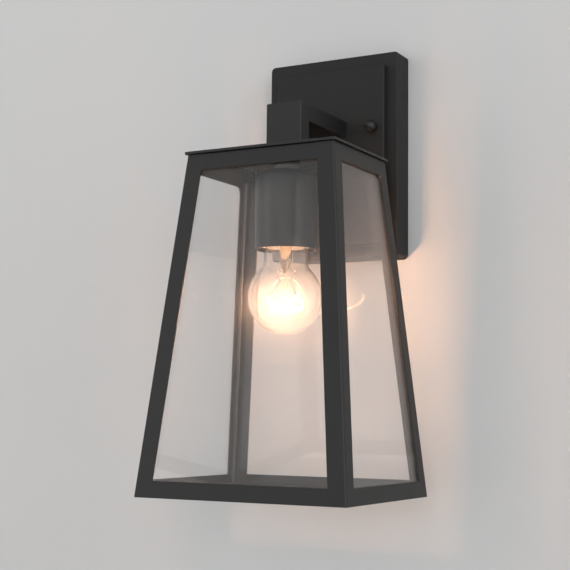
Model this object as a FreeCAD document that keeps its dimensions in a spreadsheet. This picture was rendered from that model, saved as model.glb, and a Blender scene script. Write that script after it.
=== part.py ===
# Outdoor wall lantern: a tapered glazed lantern under a flat roof, hung from a wall plate by a
# rectangular arm, with one bare lamp in a drawn steel cup.
#
# Frame: millimetres, +Z up. The wall is the plane Y = 0 and the lantern stands out from it
# along -Y, so a distance "out" from the wall is -Y. The origin is the centre of the mounting
# strap on the wall, level with the middle of the arm. +X is the right-hand side, seen from in front.
import FreeCAD, Part
import math
import os
import re
import Sketcher

doc = FreeCAD.newDocument("wall_lantern")
nodes = []

# ---------------------------------------------------------------- driving dimensions
DIMENSIONS = {
    # wall plate and the raised panel pressed onto its front
    "plate_width": 124.0, "plate_height": 177.0, "plate_depth": 22.0, "plate_wall": 1.5,
    "plate_corner": 4.0, "plate_edge": 1.8, "plate_drop": 23.0,
    "panel_width": 103.0, "panel_height": 154.0, "panel_depth": 6.0, "panel_wall": 1.2,
    "panel_corner": 2.2, "panel_edge": 1.4,
    "gasket_width": 6.0, "gasket_depth": 3.0,
    # mounting strap, its studs and nuts
    "strap_length": 104.0, "strap_width": 22.0, "strap_depth": 2.0, "strap_corner": 3.0,
    "cable_hole": 5.25, "slot_spacing": 60.0, "slot_length": 12.0, "slot_half": 2.3,
    "stud_spacing": 82.0, "stud_radius": 2.0, "stud_end": 34.5, "stud_nut_flats": 7.0,
    "stud_nut_depth": 3.2, "cap_base": 4.3, "cap_ball": 5.2, "cap_ball_out": 4.9,
    "cap_bore_depth": 7.6, "cap_gap": 0.05, "thread_ease": 0.05, "hole_ease": 0.3,
    "earth_offset": 13.0, "earth_gap": 2.3, "screw_head": 3.8, "screw_head_depth": 2.4,
    # terminal block inside the wall plate
    "block_width": 34.0, "block_depth": 14.0, "block_height": 18.0, "block_drop": 38.0,
    "block_pitch": 10.0, "block_bore": 1.6, "block_bore_out": 12.0, "block_screw": 1.9,
    "screw_ease": 0.1,
    # arm: rectangular tube, level and then down to the roof
    "arm_width": 32.0, "arm_height": 14.6, "arm_wall": 1.5, "arm_corner": 1.0,
    "lantern_out": 103.5, "end_plate": 6.0, "foot_plate": 5.0,
    "nipple_radius": 5.0, "nipple_bore": 3.8, "nipple_start": 13.0, "nut_flats": 14.0,
    "nut_depth": 3.0, "washer_radius": 8.3, "washer_depth": 1.0,
    "arm_screw": 1.5, "arm_screw_head": 2.9, "arm_screw_offset": 12.0, "arm_screw_end": 33.0,
    # lantern frame: a rectangular frustum, its top this far below the arm's middle
    "frame_drop": 38.0, "frame_height": 271.0, "top_width": 131.0, "bottom_width": 183.0,
    "top_depth": 95.0, "bottom_depth": 150.0, "metal": 1.5, "post_face": 15.0,
    "post_side": 13.0, "rail_height": 13.0, "opening_round": 5.5, "web_reach": 0.88,
    "ledge_width": 7.5, "lip_height": 5.0,
    "roof_gap": 0.5, "roof_thick": 2.2, "roof_overhang": 2.0,
    "roof_corner": 1.5, "roof_edge": 0.9,
    # panes and what holds them
    "glass": 3.0, "glass_gap": 0.3, "glass_rest": 0.1, "glass_ease": 0.2, "pane_top": 1.8,
    "bracket_size": 17.0,
    "bracket_lip": 9.0, "bracket_metal": 1.2, "roof_screw_inset": 10.3, "roof_screw": 1.9,
    "roof_screw_head": 3.1, "roof_screw_depth": 2.4, "roof_tap": 1.7,
    # lamp cup, and the lampholder measured down from the cup's top
    "spacer_radius": 11.0, "spacer_height": 6.2, "cup_nut_flats": 17.0, "cup_nut_height": 6.0,
    "cup_radius": 25.0, "cup_length": 63.0, "cup_wall": 1.2, "cup_shoulder": 5.0,
    "holder_radius": 19.0, "holder_top": 4.0, "holder_end": 60.8, "holder_well": 14.3,
    "holder_floor": 23.0, "holder_chamber": 13.0, "holder_chamber_top": 7.0,
    "holder_chamber_end": 19.5, "shell_radius": 14.2, "shell_wall": 0.5, "shell_end": 50.5,
    "contact_radius": 3.4, "contact_flange": 5.0, "contact_ease": 0.8, "contact_gap": 0.1,
    "contact_plate": 1.0, "terminal_offset": 8.0, "terminal_size": 5.0, "terminal_height": 6.0,
    "holder_bevel": 3.0, "holder_bevel_height": 6.0, "skirt_radius": 17.9, "skirt_top": 52.0,
    # lamp: 60 mm clear globe on a 27 mm screw cap
    "globe_radius": 30.0, "globe_drop": 112.8, "globe_wall": 0.8, "neck_radius": 17.6,
    "neck_rise": 38.0, "neck_blend": 12.0, "neck_end": 48.3, "neck_seat": 2.0,
    "cap_radius": 13.1, "cap_thread": 0.8, "cap_length": 23.0, "cap_wall": 0.4,
    "thread_top": 1.5, "thread_pitch": 3.62, "thread_turns": 4.0, "skirt_height": 3.0,
    "lamp_length": 105.0, "insulator_radius": 11.0,
    "insulator_tip": 5.2, "insulator_height": 2.7, "tip_radius": 4.5, "tip_height": 1.0,
    "stem_flare": 11.5, "flare_height": 7.0, "stem_radius": 4.2, "stem_end": 24.0,
    "button_radius": 2.6, "button_end": 8.0, "ring_radius": 14.3, "ring_wire": 0.45,
    "ring_gap": 124.0, "ring_tilt": 28.0, "ring_drop": 3.7,
    "hook_wire": 0.3, "hook_count": 5.0, "lead_wire": 0.4, "lead_bow": 8.9,
    "lead_bow_level": 17.5, "lead_waist": 4.6, "lead_waist_level": 13.2, "lead_curve": 2.5,
    # insulated leads from the terminal block to the lampholder
    "wire_radius": 1.1, "wire_spacing": 1.7, "wire_bend": 9.0, "wire_turn_out": 6.5,
    "wire_in_block": 7.0, "wire_above_block": 6.0, "earth_rise": 9.0,
    "wire_leaves": 0.8, "wire_spreads": 5.0,
}


def make_sheet():
    """Write every driving dimension into one sheet, named by its alias."""
    table = doc.addObject("Spreadsheet::Sheet", "dims")
    for row, (alias, number) in enumerate(DIMENSIONS.items(), start=1):
        table.set(f"A{row}", alias)
        table.set(f"B{row}", str(number))
        table.setAlias(f"B{row}", alias)
    doc.recompute()
    return table


sheet = make_sheet()


def linked(formula):
    """Point every dimension's name in a formula at the sheet."""
    def link(match):
        word = match.group()
        return f"dims.{word}" if word in DIMENSIONS else word
    return re.sub(r"[A-Za-z_]\w*", link, str(formula))


def value(formula):
    """A formula's present number."""
    result = sheet.evalExpression(linked(formula))
    return float(getattr(result, "Value", result))


def bind(item, formulas):
    """Tie an object's properties to formulas of the sheet's dimensions."""
    for name, formula in formulas.items():
        item.setExpression(name, linked(formula))


# ---------------------------------------------------------------- shapes with a place
# An axis names where an object's own Z points: up, out from the wall, or to the right.
TURNS = {
    "up": FreeCAD.Rotation(),
    "out": FreeCAD.Rotation(FreeCAD.Vector(1, 0, 0), 90),
    "right": FreeCAD.Rotation(FreeCAD.Vector(0, 1, 0), 90),
}


def place(item, across="0", out="0", level="0", axis="up"):
    item.Placement = FreeCAD.Placement(FreeCAD.Vector(), TURNS[axis])
    bind(item, {"Placement.Base.x": across, "Placement.Base.y": f"-({out})",
                "Placement.Base.z": level})
    return item


def cylinder(name, radius, length, across="0", out="0", level="0", axis="up"):
    item = doc.addObject("Part::Cylinder", name)
    bind(item, {"Radius": radius, "Height": length})
    return place(item, across, out, level, axis)


def hexagon(name, flats, length, across="0", out="0", level="0", axis="up"):
    item = doc.addObject("Part::Prism", name)
    item.Polygon = 6
    bind(item, {"Circumradius": f"({flats}) / sqrt(3)", "Height": length})
    return place(item, across, out, level, axis)


def box(name, across, out, level):
    """A box between pairs of limits across, out from the wall, and up."""
    item = doc.addObject("Part::Box", name)
    bind(item, {"Length": f"({across[1]}) - ({across[0]})",
                "Width": f"({out[1]}) - ({out[0]})",
                "Height": f"({level[1]}) - ({level[0]})"})
    return place(item, across[0], out[1], level[0])


def tapered(name, drop, across, out):
    """A block of the leaning frame between two drops below the frame's top.

    across and out each give a function of the drop that returns the block's two limits there.
    """
    item = doc.addObject("Part::Wedge", name)
    low, high = drop[1], drop[0]
    bind(item, {
        "Ymin": f"-frame_drop - ({low})", "Ymax": f"-frame_drop - ({high})",
        "Xmin": across(low)[0], "Xmax": across(low)[1],
        "X2min": across(high)[0], "X2max": across(high)[1],
        "Zmin": out(low)[0], "Zmax": out(low)[1],
        "Z2min": out(high)[0], "Z2max": out(high)[1],
    })
    item.Placement = FreeCAD.Placement(FreeCAD.Vector(), TURNS["out"])
    return item


def cut(name, base, tool):
    item = doc.addObject("Part::Cut", name)
    item.Base = base
    item.Tool = tool
    return item


def join(name, pieces):
    item = doc.addObject("Part::MultiFuse", name)
    item.Shapes = pieces
    return item


def group(name, pieces):
    """Identical fasteners kept together as separate solids."""
    item = doc.addObject("Part::Compound", name)
    item.Links = pieces
    return item


def bored(name, base, holes):
    """Cut one hole, or several at once, out of a piece."""
    tool = holes[0] if len(holes) == 1 else join(f"{name}_holes", holes)
    return cut(name, base, tool)


def node(label, item):
    """Name a finished sub-part after the file that it is written to."""
    item.Label = label
    nodes.append(item)
    return item


# ---------------------------------------------------------------- bodies with sketches
def plane(body, role):
    return next(item for item in body.Origin.OriginFeatures if item.Role == role)


def new_sketch(body, role):
    sketch = body.newObject("Sketcher::SketchObject", f"{body.Name}_sketch")
    sketch.AttachmentSupport = [(plane(body, role), "")]
    sketch.MapMode = "FlatFace"
    return sketch


def pin_point(sketch, line, end, across, up):
    """Hold one end of a sketch line at formulas of the sheet."""
    for kind, formula, axis in (("DistanceX", across, -2), ("DistanceY", up, -1)):
        number = value(formula)
        if abs(number) < 1e-9:
            sketch.addConstraint(Sketcher.Constraint("PointOnObject", line, end, axis))
            continue
        index = sketch.addConstraint(Sketcher.Constraint(kind, -1, 1, line, end, number))
        sketch.setExpression(f"Constraints[{index}]", linked(formula))


def outline(body, role, corners):
    """A closed outline of straight lines through corners given as formulas."""
    sketch = new_sketch(body, role)
    points = [FreeCAD.Vector(value(x), value(y), 0) for x, y in corners]
    count = len(points)
    for index in range(count):
        sketch.addGeometry(Part.LineSegment(points[index], points[(index + 1) % count]), False)
    for index in range(count):
        following = (index + 1) % count
        sketch.addConstraint(Sketcher.Constraint("Coincident", index, 2, following, 1))
    for index, (across, up) in enumerate(corners):
        pin_point(sketch, index, 1, across, up)
    return sketch


def rectangle(width, height):
    """Corners of a rectangle about the origin."""
    return [(f"{side} * ({width}) / 2", f"{top} * ({height}) / 2")
            for side, top in ((-1, -1), (1, -1), (1, 1), (-1, 1))]


def pad(body, sketch, length, both_ways=False):
    item = body.newObject("PartDesign::Pad", f"{body.Name}_pad")
    item.Profile = sketch
    if both_ways:
        item.SideType = "Symmetric"
    bind(item, {"Length": length})
    doc.recompute()
    return item


def round_edges(body, radius, chosen):
    """Round every edge of the body's tip for which chosen(edge) holds."""
    base = body.Tip
    names = [f"Edge{i}" for i, edge in enumerate(base.Shape.Edges, start=1) if chosen(edge)]
    item = body.newObject("PartDesign::Fillet", f"{body.Name}_round")
    item.Base = (base, names)
    bind(item, {"Radius": radius})
    doc.recompute()
    return item


def turned(name, profile, across="0", out="0", level="0", axis="up"):
    """A piece turned about its own Z, from corners given as radius and height."""
    body = doc.addObject("PartDesign::Body", name)
    sketch = outline(body, "XZ_Plane", profile)
    item = body.newObject("PartDesign::Revolution", f"{name}_turn")
    item.Profile = sketch
    item.ReferenceAxis = (sketch, ["V_Axis"])
    item.Angle = 360
    doc.recompute()
    return place(body, across, out, level, axis)


def runs_along(edge, direction):
    """Whether a straight edge lies along a direction."""
    if not isinstance(edge.Curve, Part.Line):
        return False
    along = edge.Vertexes[-1].Point.sub(edge.Vertexes[0].Point).normalize()
    return abs(abs(along.dot(direction)) - 1) < 1e-6


def lies_at(edge, axis, number):
    """Whether an edge lies whole in the plane where its axis (0, 1 or 2) has a number."""
    box_of = edge.BoundBox
    low, high = ((box_of.XMin, box_of.XMax), (box_of.YMin, box_of.YMax),
                 (box_of.ZMin, box_of.ZMax))[axis]
    return abs(low - number) < 1e-4 and abs(high - number) < 1e-4


ALONG_X = FreeCAD.Vector(1, 0, 0)
ALONG_Y = FreeCAD.Vector(0, 1, 0)
ALONG_Z = FreeCAD.Vector(0, 0, 1)


# ---------------------------------------------------------------- wall plate
def rounded_block(name, width, height, depth, corner, edge, out, level):
    """A block standing out from the wall, with rounded corners and a soft front edge."""
    body = doc.addObject("PartDesign::Body", name)
    pad(body, outline(body, "XZ_Plane", rectangle(width, height)), depth)
    round_edges(body, corner, lambda e: runs_along(e, ALONG_Y))
    front = -value(depth)
    round_edges(body, edge, lambda e: lies_at(e, 1, front))
    return place(body, out=out, level=level)


def tray(name, word, out, level):
    """A pressed tray, open to the wall, sized by the dimensions that start with a word."""
    sizes = [f"{word}_{way}" for way in ("width", "height", "depth", "corner", "edge")]
    wall = f"{word}_wall"
    thinner = [f"{sizes[0]} - 2 * {wall}", f"{sizes[1]} - 2 * {wall}", f"{sizes[2]} - {wall} + 1",
               f"{sizes[3]} - {wall}", f"{sizes[4]} - {wall}"]
    outer = rounded_block(f"{name}_outer", *sizes, out, level)
    inner = rounded_block(f"{name}_inner", *thinner, f"{out} - 1", level)
    return cut(name, outer, inner)


def stud_places():
    return [(side, f"{side} * stud_spacing / 2") for side in (-1, 1)]


def front_holes(name, radius_of_stud_hole, start, end):
    """Holes for the studs, the arm's nipple and the arm's two screws, between two distances."""
    length = f"({end}) - ({start})"
    holes = [cylinder(f"{name}_stud_{side}", radius_of_stud_hole, length, across, start, "0", "out")
             for side, across in stud_places()]
    holes.append(cylinder(f"{name}_nipple", "nipple_radius", length, "0", start, "0", "out"))
    holes += [cylinder(f"{name}_screw_{side}", "arm_screw", length,
                       f"{side} * arm_screw_offset", start, "0", "out") for side in (-1, 1)]
    return holes


def make_wall_plate():
    shell = tray("plate_tray", "plate", "0", "-plate_drop")
    holes = front_holes("plate_hole", "stud_radius + hole_ease", "plate_depth - 2 * plate_wall",
                        "plate_depth + plate_wall")
    node("wall_plate", bored("plate", shell, holes))


def make_raised_panel():
    shell = tray("panel_tray", "panel", "plate_depth", "-plate_drop")
    holes = front_holes("panel_hole", "stud_radius + hole_ease", "plate_depth + panel_wall",
                        "plate_depth + panel_depth + panel_wall")
    node("raised_panel", bored("panel", shell, holes))


def make_gasket():
    """Foam strip round the inside of the wall plate's rim, flush with the wall."""
    body = doc.addObject("PartDesign::Body", "gasket_sheet")
    inside = [f"plate_{way} - 2 * plate_wall" for way in ("width", "height")]
    pad(body, outline(body, "XZ_Plane", rectangle(*inside)), "gasket_depth")
    round_edges(body, "plate_corner - plate_wall", lambda e: runs_along(e, ALONG_Y))
    place(body, level="-plate_drop")
    half = [f"(plate_{way} / 2 - plate_wall - gasket_width)" for way in ("width", "height")]
    window = box("gasket_window", (f"-{half[0]}", half[0]), ("-1", "gasket_depth + 1"),
                 (f"-plate_drop - {half[1]}", f"-plate_drop + {half[1]}"))
    node("wall_gasket", cut("gasket", body, window))


def slot(name, middle):
    """A round-ended slot through the strap."""
    straight = "(slot_length / 2 - slot_half)"
    ends = [cylinder(f"{name}_end_{side}", "slot_half", "strap_depth + 2",
                     f"{middle} + {side} * {straight}", "-1", "0", "out") for side in (-1, 1)]
    middle_box = box(f"{name}_middle", (f"{middle} - {straight}", f"{middle} + {straight}"),
                     ("-1", "strap_depth + 1"), ("-slot_half", "slot_half"))
    return join(name, ends + [middle_box])


def make_strap():
    body = doc.addObject("PartDesign::Body", "strap_blank")
    pad(body, outline(body, "XZ_Plane", rectangle("strap_length", "strap_width")), "strap_depth")
    round_edges(body, "strap_corner", lambda e: runs_along(e, ALONG_Y))
    through = "strap_depth + 2"
    holes = [cylinder("strap_cable_hole", "cable_hole", through, "0", "-1", "0", "out"),
             cylinder("strap_earth_hole", "stud_radius", through, "earth_offset", "-1", "0", "out")]
    holes += [cylinder(f"strap_stud_hole_{side}", "stud_radius", through, across, "-1", "0", "out")
              for side, across in stud_places()]
    holes += [slot(f"strap_slot_{side}", f"{side} * slot_spacing / 2") for side in (-1, 1)]
    node("mounting_strap", bored("strap", body, holes))


def make_studs():
    studs = [cylinder(f"stud_{side}", "stud_radius", "stud_end", across, "0", "0", "out")
             for side, across in stud_places()]
    node("strap_studs", group("studs", studs))
    nuts = []
    for side, across in stud_places():
        solid = hexagon(f"stud_nut_solid_{side}", "stud_nut_flats", "stud_nut_depth",
                        across, "strap_depth", "0", "out")
        hole = cylinder(f"stud_nut_hole_{side}", "stud_radius", "stud_nut_depth + 2",
                        across, "strap_depth - 1", "0", "out")
        nuts.append(cut(f"stud_nut_{side}", solid, hole))
    node("stud_nuts", group("stud_lock_nuts", nuts))


def make_cap_nuts():
    """Ball-headed cap nuts that draw the wall plate onto the strap's studs."""
    seat = "plate_depth + panel_depth + cap_gap"
    for side, word in ((-1, "left"), (1, "right")):
        across = f"{side} * stud_spacing / 2"
        base = cylinder(f"cap_base_{word}", "cap_base", "cap_ball_out", across, seat, "0", "out")
        ball = doc.addObject("Part::Sphere", f"cap_ball_{word}")
        bind(ball, {"Radius": "cap_ball"})
        place(ball, across, f"{seat} + cap_ball_out", "0")
        skirt = cylinder(f"cap_trim_{word}", "cap_ball + 1", "2", across,
                         f"{seat} - 2", "0", "out")
        solid = cut(f"cap_solid_{word}", join(f"cap_shape_{word}", [base, ball]), skirt)
        bore = cylinder(f"cap_bore_{word}", "stud_radius + thread_ease", "cap_bore_depth + 1",
                        across, f"{seat} - 1", "0", "out")
        node(f"cap_nut_{word}", cut(f"cap_{word}", solid, bore))


def screw(name, shank, head, head_depth, seat, end, across):
    """A pan-head screw along the out axis: head behind seat, shank from seat to end."""
    head_part = cylinder(f"{name}_head", head, head_depth, across, f"{seat} - ({head_depth})",
                         "0", "out")
    shank_part = cylinder(f"{name}_shank", shank, f"({end}) - ({seat})", across, seat, "0", "out")
    return join(name, [head_part, shank_part])


def make_earth_screw():
    head = cylinder("earth_head", "screw_head", "screw_head_depth", "earth_offset",
                    "strap_depth + earth_gap", "0", "out")
    shank = cylinder("earth_shank", "stud_radius", "strap_depth + earth_gap", "earth_offset",
                     "0", "0", "out")
    node("earth_screw", join("earth", [head, shank]))


def make_terminal_block():
    """Three-way block fixed inside the wall plate's front, with the leads entering from above."""
    back = "(plate_depth - plate_wall)"
    top = "(-block_drop + block_height / 2)"
    solid = box("block_solid", ("-block_width / 2", "block_width / 2"),
                (f"{back} - block_depth", back), (f"{top} - block_height", top))
    ways = [(way, f"{way} * block_pitch") for way in (-1, 0, 1)]
    holes = [cylinder(f"block_bore_{way}", "block_bore", "block_height + 2", across,
                      "block_bore_out", f"{top} - block_height - 1") for way, across in ways]
    wells = [cylinder(f"block_well_{way}", "block_screw", "block_depth", across,
                      f"{back} - block_depth - 1", "-block_drop", "out") for way, across in ways]
    short = "block_bore_out - block_bore - screw_ease"
    for well in wells:
        bind(well, {"Height": f"{short} - ({back} - block_depth - 1)"})
    node("terminal_block", bored("block", solid, holes + wells))
    screws = [cylinder(f"block_screw_{way}", "block_screw - screw_ease",
                       f"{short} - ({back} - block_depth + 1)", across,
                       f"{back} - block_depth + 1", "-block_drop", "out") for way, across in ways]
    node("terminal_screws", group("block_screws", screws))


# ---------------------------------------------------------------- arm
ARM_BACK = "(plate_depth + panel_depth)"
ARM_TOP = "(arm_height / 2)"
ROOF = "(-frame_drop + roof_gap)"
LEG_FOOT = f"({ROOF} + roof_thick)"


def arm_outline(inset, back, foot):
    """The arm's side view as a bent strip, inset all round except at its two open ends."""
    front = f"-(lantern_out + arm_height / 2 - {inset})"
    rear_of_leg = f"-(lantern_out - arm_height / 2 + {inset})"
    return [(f"-({back})", f"{ARM_TOP} - {inset}"), (front, f"{ARM_TOP} - {inset}"),
            (front, foot), (rear_of_leg, foot),
            (rear_of_leg, f"-{ARM_TOP} + {inset}"), (f"-({back})", f"-{ARM_TOP} + {inset}")]


def make_arm():
    """Rectangular tube, out from the wall plate and mitred down to the roof."""
    outer = doc.addObject("PartDesign::Body", "arm_outer")
    pad(outer, outline(outer, "YZ_Plane", arm_outline("0", ARM_BACK, LEG_FOOT)), "arm_width", True)
    half = value("arm_width / 2")
    back, foot = -value(ARM_BACK), value(LEG_FOOT)
    round_edges(outer, "arm_corner", lambda e: (abs(abs(e.CenterOfMass.x) - half) < 1e-6
                                                and not lies_at(e, 1, back)
                                                and not lies_at(e, 2, foot)))
    inner = doc.addObject("PartDesign::Body", "arm_inner")
    pad(inner, outline(inner, "YZ_Plane", arm_outline("arm_wall", f"{ARM_BACK} - 1",
                                                      f"{LEG_FOOT} - 1")),
        "arm_width - 2 * arm_wall", True)
    node("arm_tube", cut("arm", outer, inner))


def make_arm_plates():
    """Threaded plates welded into the arm's two ends."""
    wide = ("-arm_width / 2 + arm_wall", "arm_width / 2 - arm_wall")
    tall = "(arm_height / 2 - arm_wall)"
    end = box("end_solid", wide, (ARM_BACK, f"{ARM_BACK} + end_plate"), (f"-{tall}", tall))
    holes = [cylinder("end_nipple_hole", "nipple_radius", "end_plate + 2", "0",
                      f"{ARM_BACK} - 1", "0", "out")]
    holes += [cylinder(f"end_screw_hole_{side}", "arm_screw", "end_plate + 2",
                       f"{side} * arm_screw_offset", f"{ARM_BACK} - 1", "0", "out")
              for side in (-1, 1)]
    node("arm_end_plate", bored("end", end, holes))
    foot = box("foot_solid", wide, (f"lantern_out - {tall}", f"lantern_out + {tall}"),
               (LEG_FOOT, f"{LEG_FOOT} + foot_plate"))
    hole = cylinder("foot_hole", "nipple_radius", "foot_plate + 2", "0", "lantern_out",
                    f"{LEG_FOOT} - 1")
    node("arm_foot_plate", cut("foot", foot, hole))


def pipe(name, outer, inner, length, out, level, axis):
    solid = cylinder(f"{name}_solid", outer, length, "0", out, level, axis)
    hole = cylinder(f"{name}_bore", inner, length, "0", out, level, axis)
    return cut(name, solid, hole)


def make_arm_fixings():
    """Hollow threaded nipple, washer, nut and two screws that hold the arm to the wall plate."""
    back = "(plate_depth - plate_wall)"
    node("arm_nipple", pipe("rear_nipple", "nipple_radius", "nipple_bore",
                            f"{ARM_BACK} + end_plate - nipple_start", "nipple_start", "0", "out"))
    node("arm_washer", pipe("rear_washer", "washer_radius", "nipple_radius", "washer_depth",
                            f"{back} - washer_depth", "0", "out"))
    seat = f"{back} - washer_depth - nut_depth"
    solid = hexagon("rear_nut_solid", "nut_flats", "nut_depth", "0", seat, "0", "out")
    hole = cylinder("rear_nut_hole", "nipple_radius", "nut_depth", "0", seat, "0", "out")
    node("arm_nut", cut("rear_nut", solid, hole))
    screws = [screw(f"arm_screw_{side}", "arm_screw", "arm_screw_head", "screw_head_depth",
                    back, "arm_screw_end", f"{side} * arm_screw_offset") for side in (-1, 1)]
    node("arm_screws", group("arm_screw_pair", screws))


# ---------------------------------------------------------------- lantern frame
def half_width(drop):
    return f"((top_width + (bottom_width - top_width) * ({drop}) / frame_height) / 2)"


def half_depth(drop):
    return f"((top_depth + (bottom_depth - top_depth) * ({drop}) / frame_height) / 2)"


def beyond(side, inner, outer, half, middle="0"):
    """Limits, as a function of the drop, between two insets from the frame's face on one side."""
    def limits(drop):
        near, far = f"{half(drop)} - ({inner})", f"{half(drop)} - ({outer})"
        if side > 0:
            return f"{middle} + {near}", f"{middle} + {far}"
        return f"{middle} - ({far})", f"{middle} - ({near})"
    return limits


def between(inset, half, middle="0"):
    """Limits, as a function of the drop, that stop at an inset from both faces."""
    def limits(drop):
        reach = f"({half(drop)} - ({inset}))"
        return f"{middle} - {reach}", f"{middle} + {reach}"
    return limits


CENTRE = "lantern_out"
SIDES = ((-1, "left"), (1, "right"))
REAR, FRONT = -1, 1
FACES = ((REAR, "rear"), (FRONT, "front"))


def make_posts():
    """Corner posts: unequal angle that leans with both faces."""
    for face, face_word in FACES:
        for side, side_word in SIDES:
            name = f"{face_word}_{side_word}"
            outer = tapered(f"post_outer_{name}", ("0", "frame_height"),
                            beyond(side, "post_face", "0", half_width),
                            beyond(face, "post_side", "0", half_depth, CENTRE))
            inner = tapered(f"post_inner_{name}", ("-1", "frame_height + 1"),
                            beyond(side, "post_face + 1", "metal", half_width),
                            beyond(face, "post_side + 1", "metal", half_depth, CENTRE))
            node(f"post_{name}", cut(f"post_angle_{name}", outer, inner))


def corner_web(name, side):
    """The rounded rear corner of a side opening, below the top rail and against the post."""
    lean = "((bottom_depth - top_depth) / (2 * frame_height))"
    drop = "(rail_height + opening_round)"
    axis = f"({half_depth(drop)} - post_side - opening_round * sqrt(1 + {lean} * {lean}))"
    block = tapered(f"{name}_block", ("rail_height", "rail_height + web_reach * opening_round"),
                    beyond(side, "metal", "0", half_width),
                    beyond(REAR, "post_side + opening_round", "post_side", half_depth, CENTRE))
    round_tool = cylinder(f"{name}_round", "opening_round", "bottom_width",
                          "-bottom_width / 2", f"{CENTRE} + {REAR} * {axis}",
                          f"-frame_drop - {drop}", "right")
    return cut(name, block, round_tool)


def make_top_rails():
    for face, word in FACES:
        rail = tapered(f"top_bar_{word}", ("0", "rail_height"), between("post_face", half_width),
                       beyond(face, "metal", "0", half_depth, CENTRE))
        node(f"top_rail_{word}", rail)
    for side, word in SIDES:
        bar = tapered(f"top_bar_{word}", ("0", "rail_height"),
                      beyond(side, "metal", "0", half_width),
                      between("post_side", half_depth, CENTRE))
        web = corner_web(f"corner_web_{word}", side)
        node(f"top_rail_{word}", join(f"top_rail_shape_{word}", [bar, web]))


def channel(name, leg_ends, floor_ends, lip_ends, limits):
    """Bottom rail: a tall outer leg between the posts, a floor and a low lip inside the pane.

    Each ends function limits one part's length; limits(inner, outer) limits its thickness.
    """
    def part(word, height, ends, inner, outer):
        across, out = limits(ends, inner, outer)
        return tapered(f"{name}_{word}", (f"frame_height - {height}", "frame_height"), across, out)
    return join(name, [part("leg", "rail_height", leg_ends, "metal", "0"),
                       part("floor", "metal", floor_ends, "ledge_width", "metal"),
                       part("lip", "lip_height", lip_ends, "ledge_width", "ledge_width - metal")])


def make_bottom_rails():
    for face, word in FACES:
        def across_face(ends, inner, outer, face=face):
            return ends, beyond(face, inner, outer, half_depth, CENTRE)
        ends = [between(inset, half_width) for inset in ("post_face", "metal",
                                                         "ledge_width - metal")]
        node(f"bottom_rail_{word}", channel(f"channel_{word}", *ends, across_face))
    for side, word in SIDES:
        def across_side(ends, inner, outer, side=side):
            return beyond(side, inner, outer, half_width), ends
        ends = [between(inset, half_depth, CENTRE) for inset in ("post_side", "ledge_width",
                                                                 "ledge_width")]
        node(f"bottom_rail_{word}", channel(f"channel_{word}", *ends, across_side))


def make_panes():
    """Clear panes: front and rear run the full width, the side panes stand between them."""
    drop = ("pane_top", "frame_height - metal - glass_rest")
    for face, word in FACES:
        node(f"pane_{word}", tapered(f"glass_{word}", drop,
                                     between("metal + glass_gap", half_width),
                                     beyond(face, "metal + glass", "metal", half_depth, CENTRE)))
    for side, word in SIDES:
        node(f"pane_{word}", tapered(f"glass_{word}", drop,
                                     beyond(side, "metal + glass", "metal", half_width),
                                     between("metal + glass + glass_gap", half_depth, CENTRE)))


def roof_screw_place(side, face):
    across = f"{side} * (top_width / 2 - roof_screw_inset)"
    out = f"{CENTRE} + {face} * (top_depth / 2 - roof_screw_inset)"
    return across, out


def make_corner_brackets():
    """Welded corner plates that take the roof's screws, with lips that hold the panes back."""
    inside = "metal + glass + glass_ease"
    for face, face_word in FACES:
        for side, side_word in SIDES:
            name = f"{face_word}_{side_word}"
            flat_x = beyond(side, "bracket_size", "metal", half_width)
            flat_y = beyond(face, "bracket_size", "metal", half_depth, CENTRE)
            top = tapered(f"bracket_top_{name}", ("-roof_gap", "metal - roof_gap"),
                          lambda drop, limits=flat_x: limits("0"),
                          lambda drop, limits=flat_y: limits("0"))
            lip_drop = ("metal / 2 - roof_gap", "bracket_lip")
            lip_x = tapered(f"bracket_lip_x_{name}", lip_drop,
                            beyond(side, f"{inside} + bracket_metal", inside, half_width),
                            beyond(face, "bracket_size", inside, half_depth, CENTRE))
            lip_y = tapered(f"bracket_lip_y_{name}", lip_drop,
                            beyond(side, "bracket_size", inside, half_width),
                            beyond(face, f"{inside} + bracket_metal", inside, half_depth, CENTRE))
            across, out = roof_screw_place(side, face)
            hole = cylinder(f"bracket_hole_{name}", "roof_screw + glass_ease", "metal + 2", across, out,
                            f"{ROOF} - metal - 1")
            shape = join(f"bracket_shape_{name}", [top, lip_x, lip_y])
            node(f"corner_bracket_{name}", cut(f"bracket_{name}", shape, hole))


def make_roof():
    """Flat roof plate, lapping over the frame, screwed up from the corner brackets."""
    body = doc.addObject("PartDesign::Body", "roof_blank")
    size = [f"top_{way} + 2 * roof_overhang" for way in ("width", "depth")]
    pad(body, outline(body, "XY_Plane", rectangle(*size)), "roof_thick")
    round_edges(body, "roof_corner", lambda e: runs_along(e, ALONG_Z))
    top = value("roof_thick")
    round_edges(body, "roof_edge", lambda e: lies_at(e, 2, top))
    place(body, out=CENTRE, level=ROOF)
    holes = [cylinder("roof_hole", "nipple_radius", "roof_thick + 2", "0", CENTRE,
                      f"{ROOF} - 1")]
    screws = []
    for face, face_word in FACES:
        for side, side_word in SIDES:
            name = f"{face_word}_{side_word}"
            across, out = roof_screw_place(side, face)
            holes.append(cylinder(f"roof_tap_{name}", "roof_screw", "roof_tap + 1", across, out,
                                  f"{ROOF} - 1"))
            head = cylinder(f"roof_screw_head_{name}", "roof_screw_head", "roof_screw_depth",
                            across, out, f"{ROOF} - metal - roof_screw_depth")
            shank = cylinder(f"roof_screw_shank_{name}", "roof_screw", "metal + roof_tap",
                             across, out, f"{ROOF} - metal")
            screws.append(join(f"roof_screw_{name}", [head, shank]))
    node("roof_plate", bored("roof", body, holes))
    node("roof_screws", group("roof_screw_set", screws))


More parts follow.
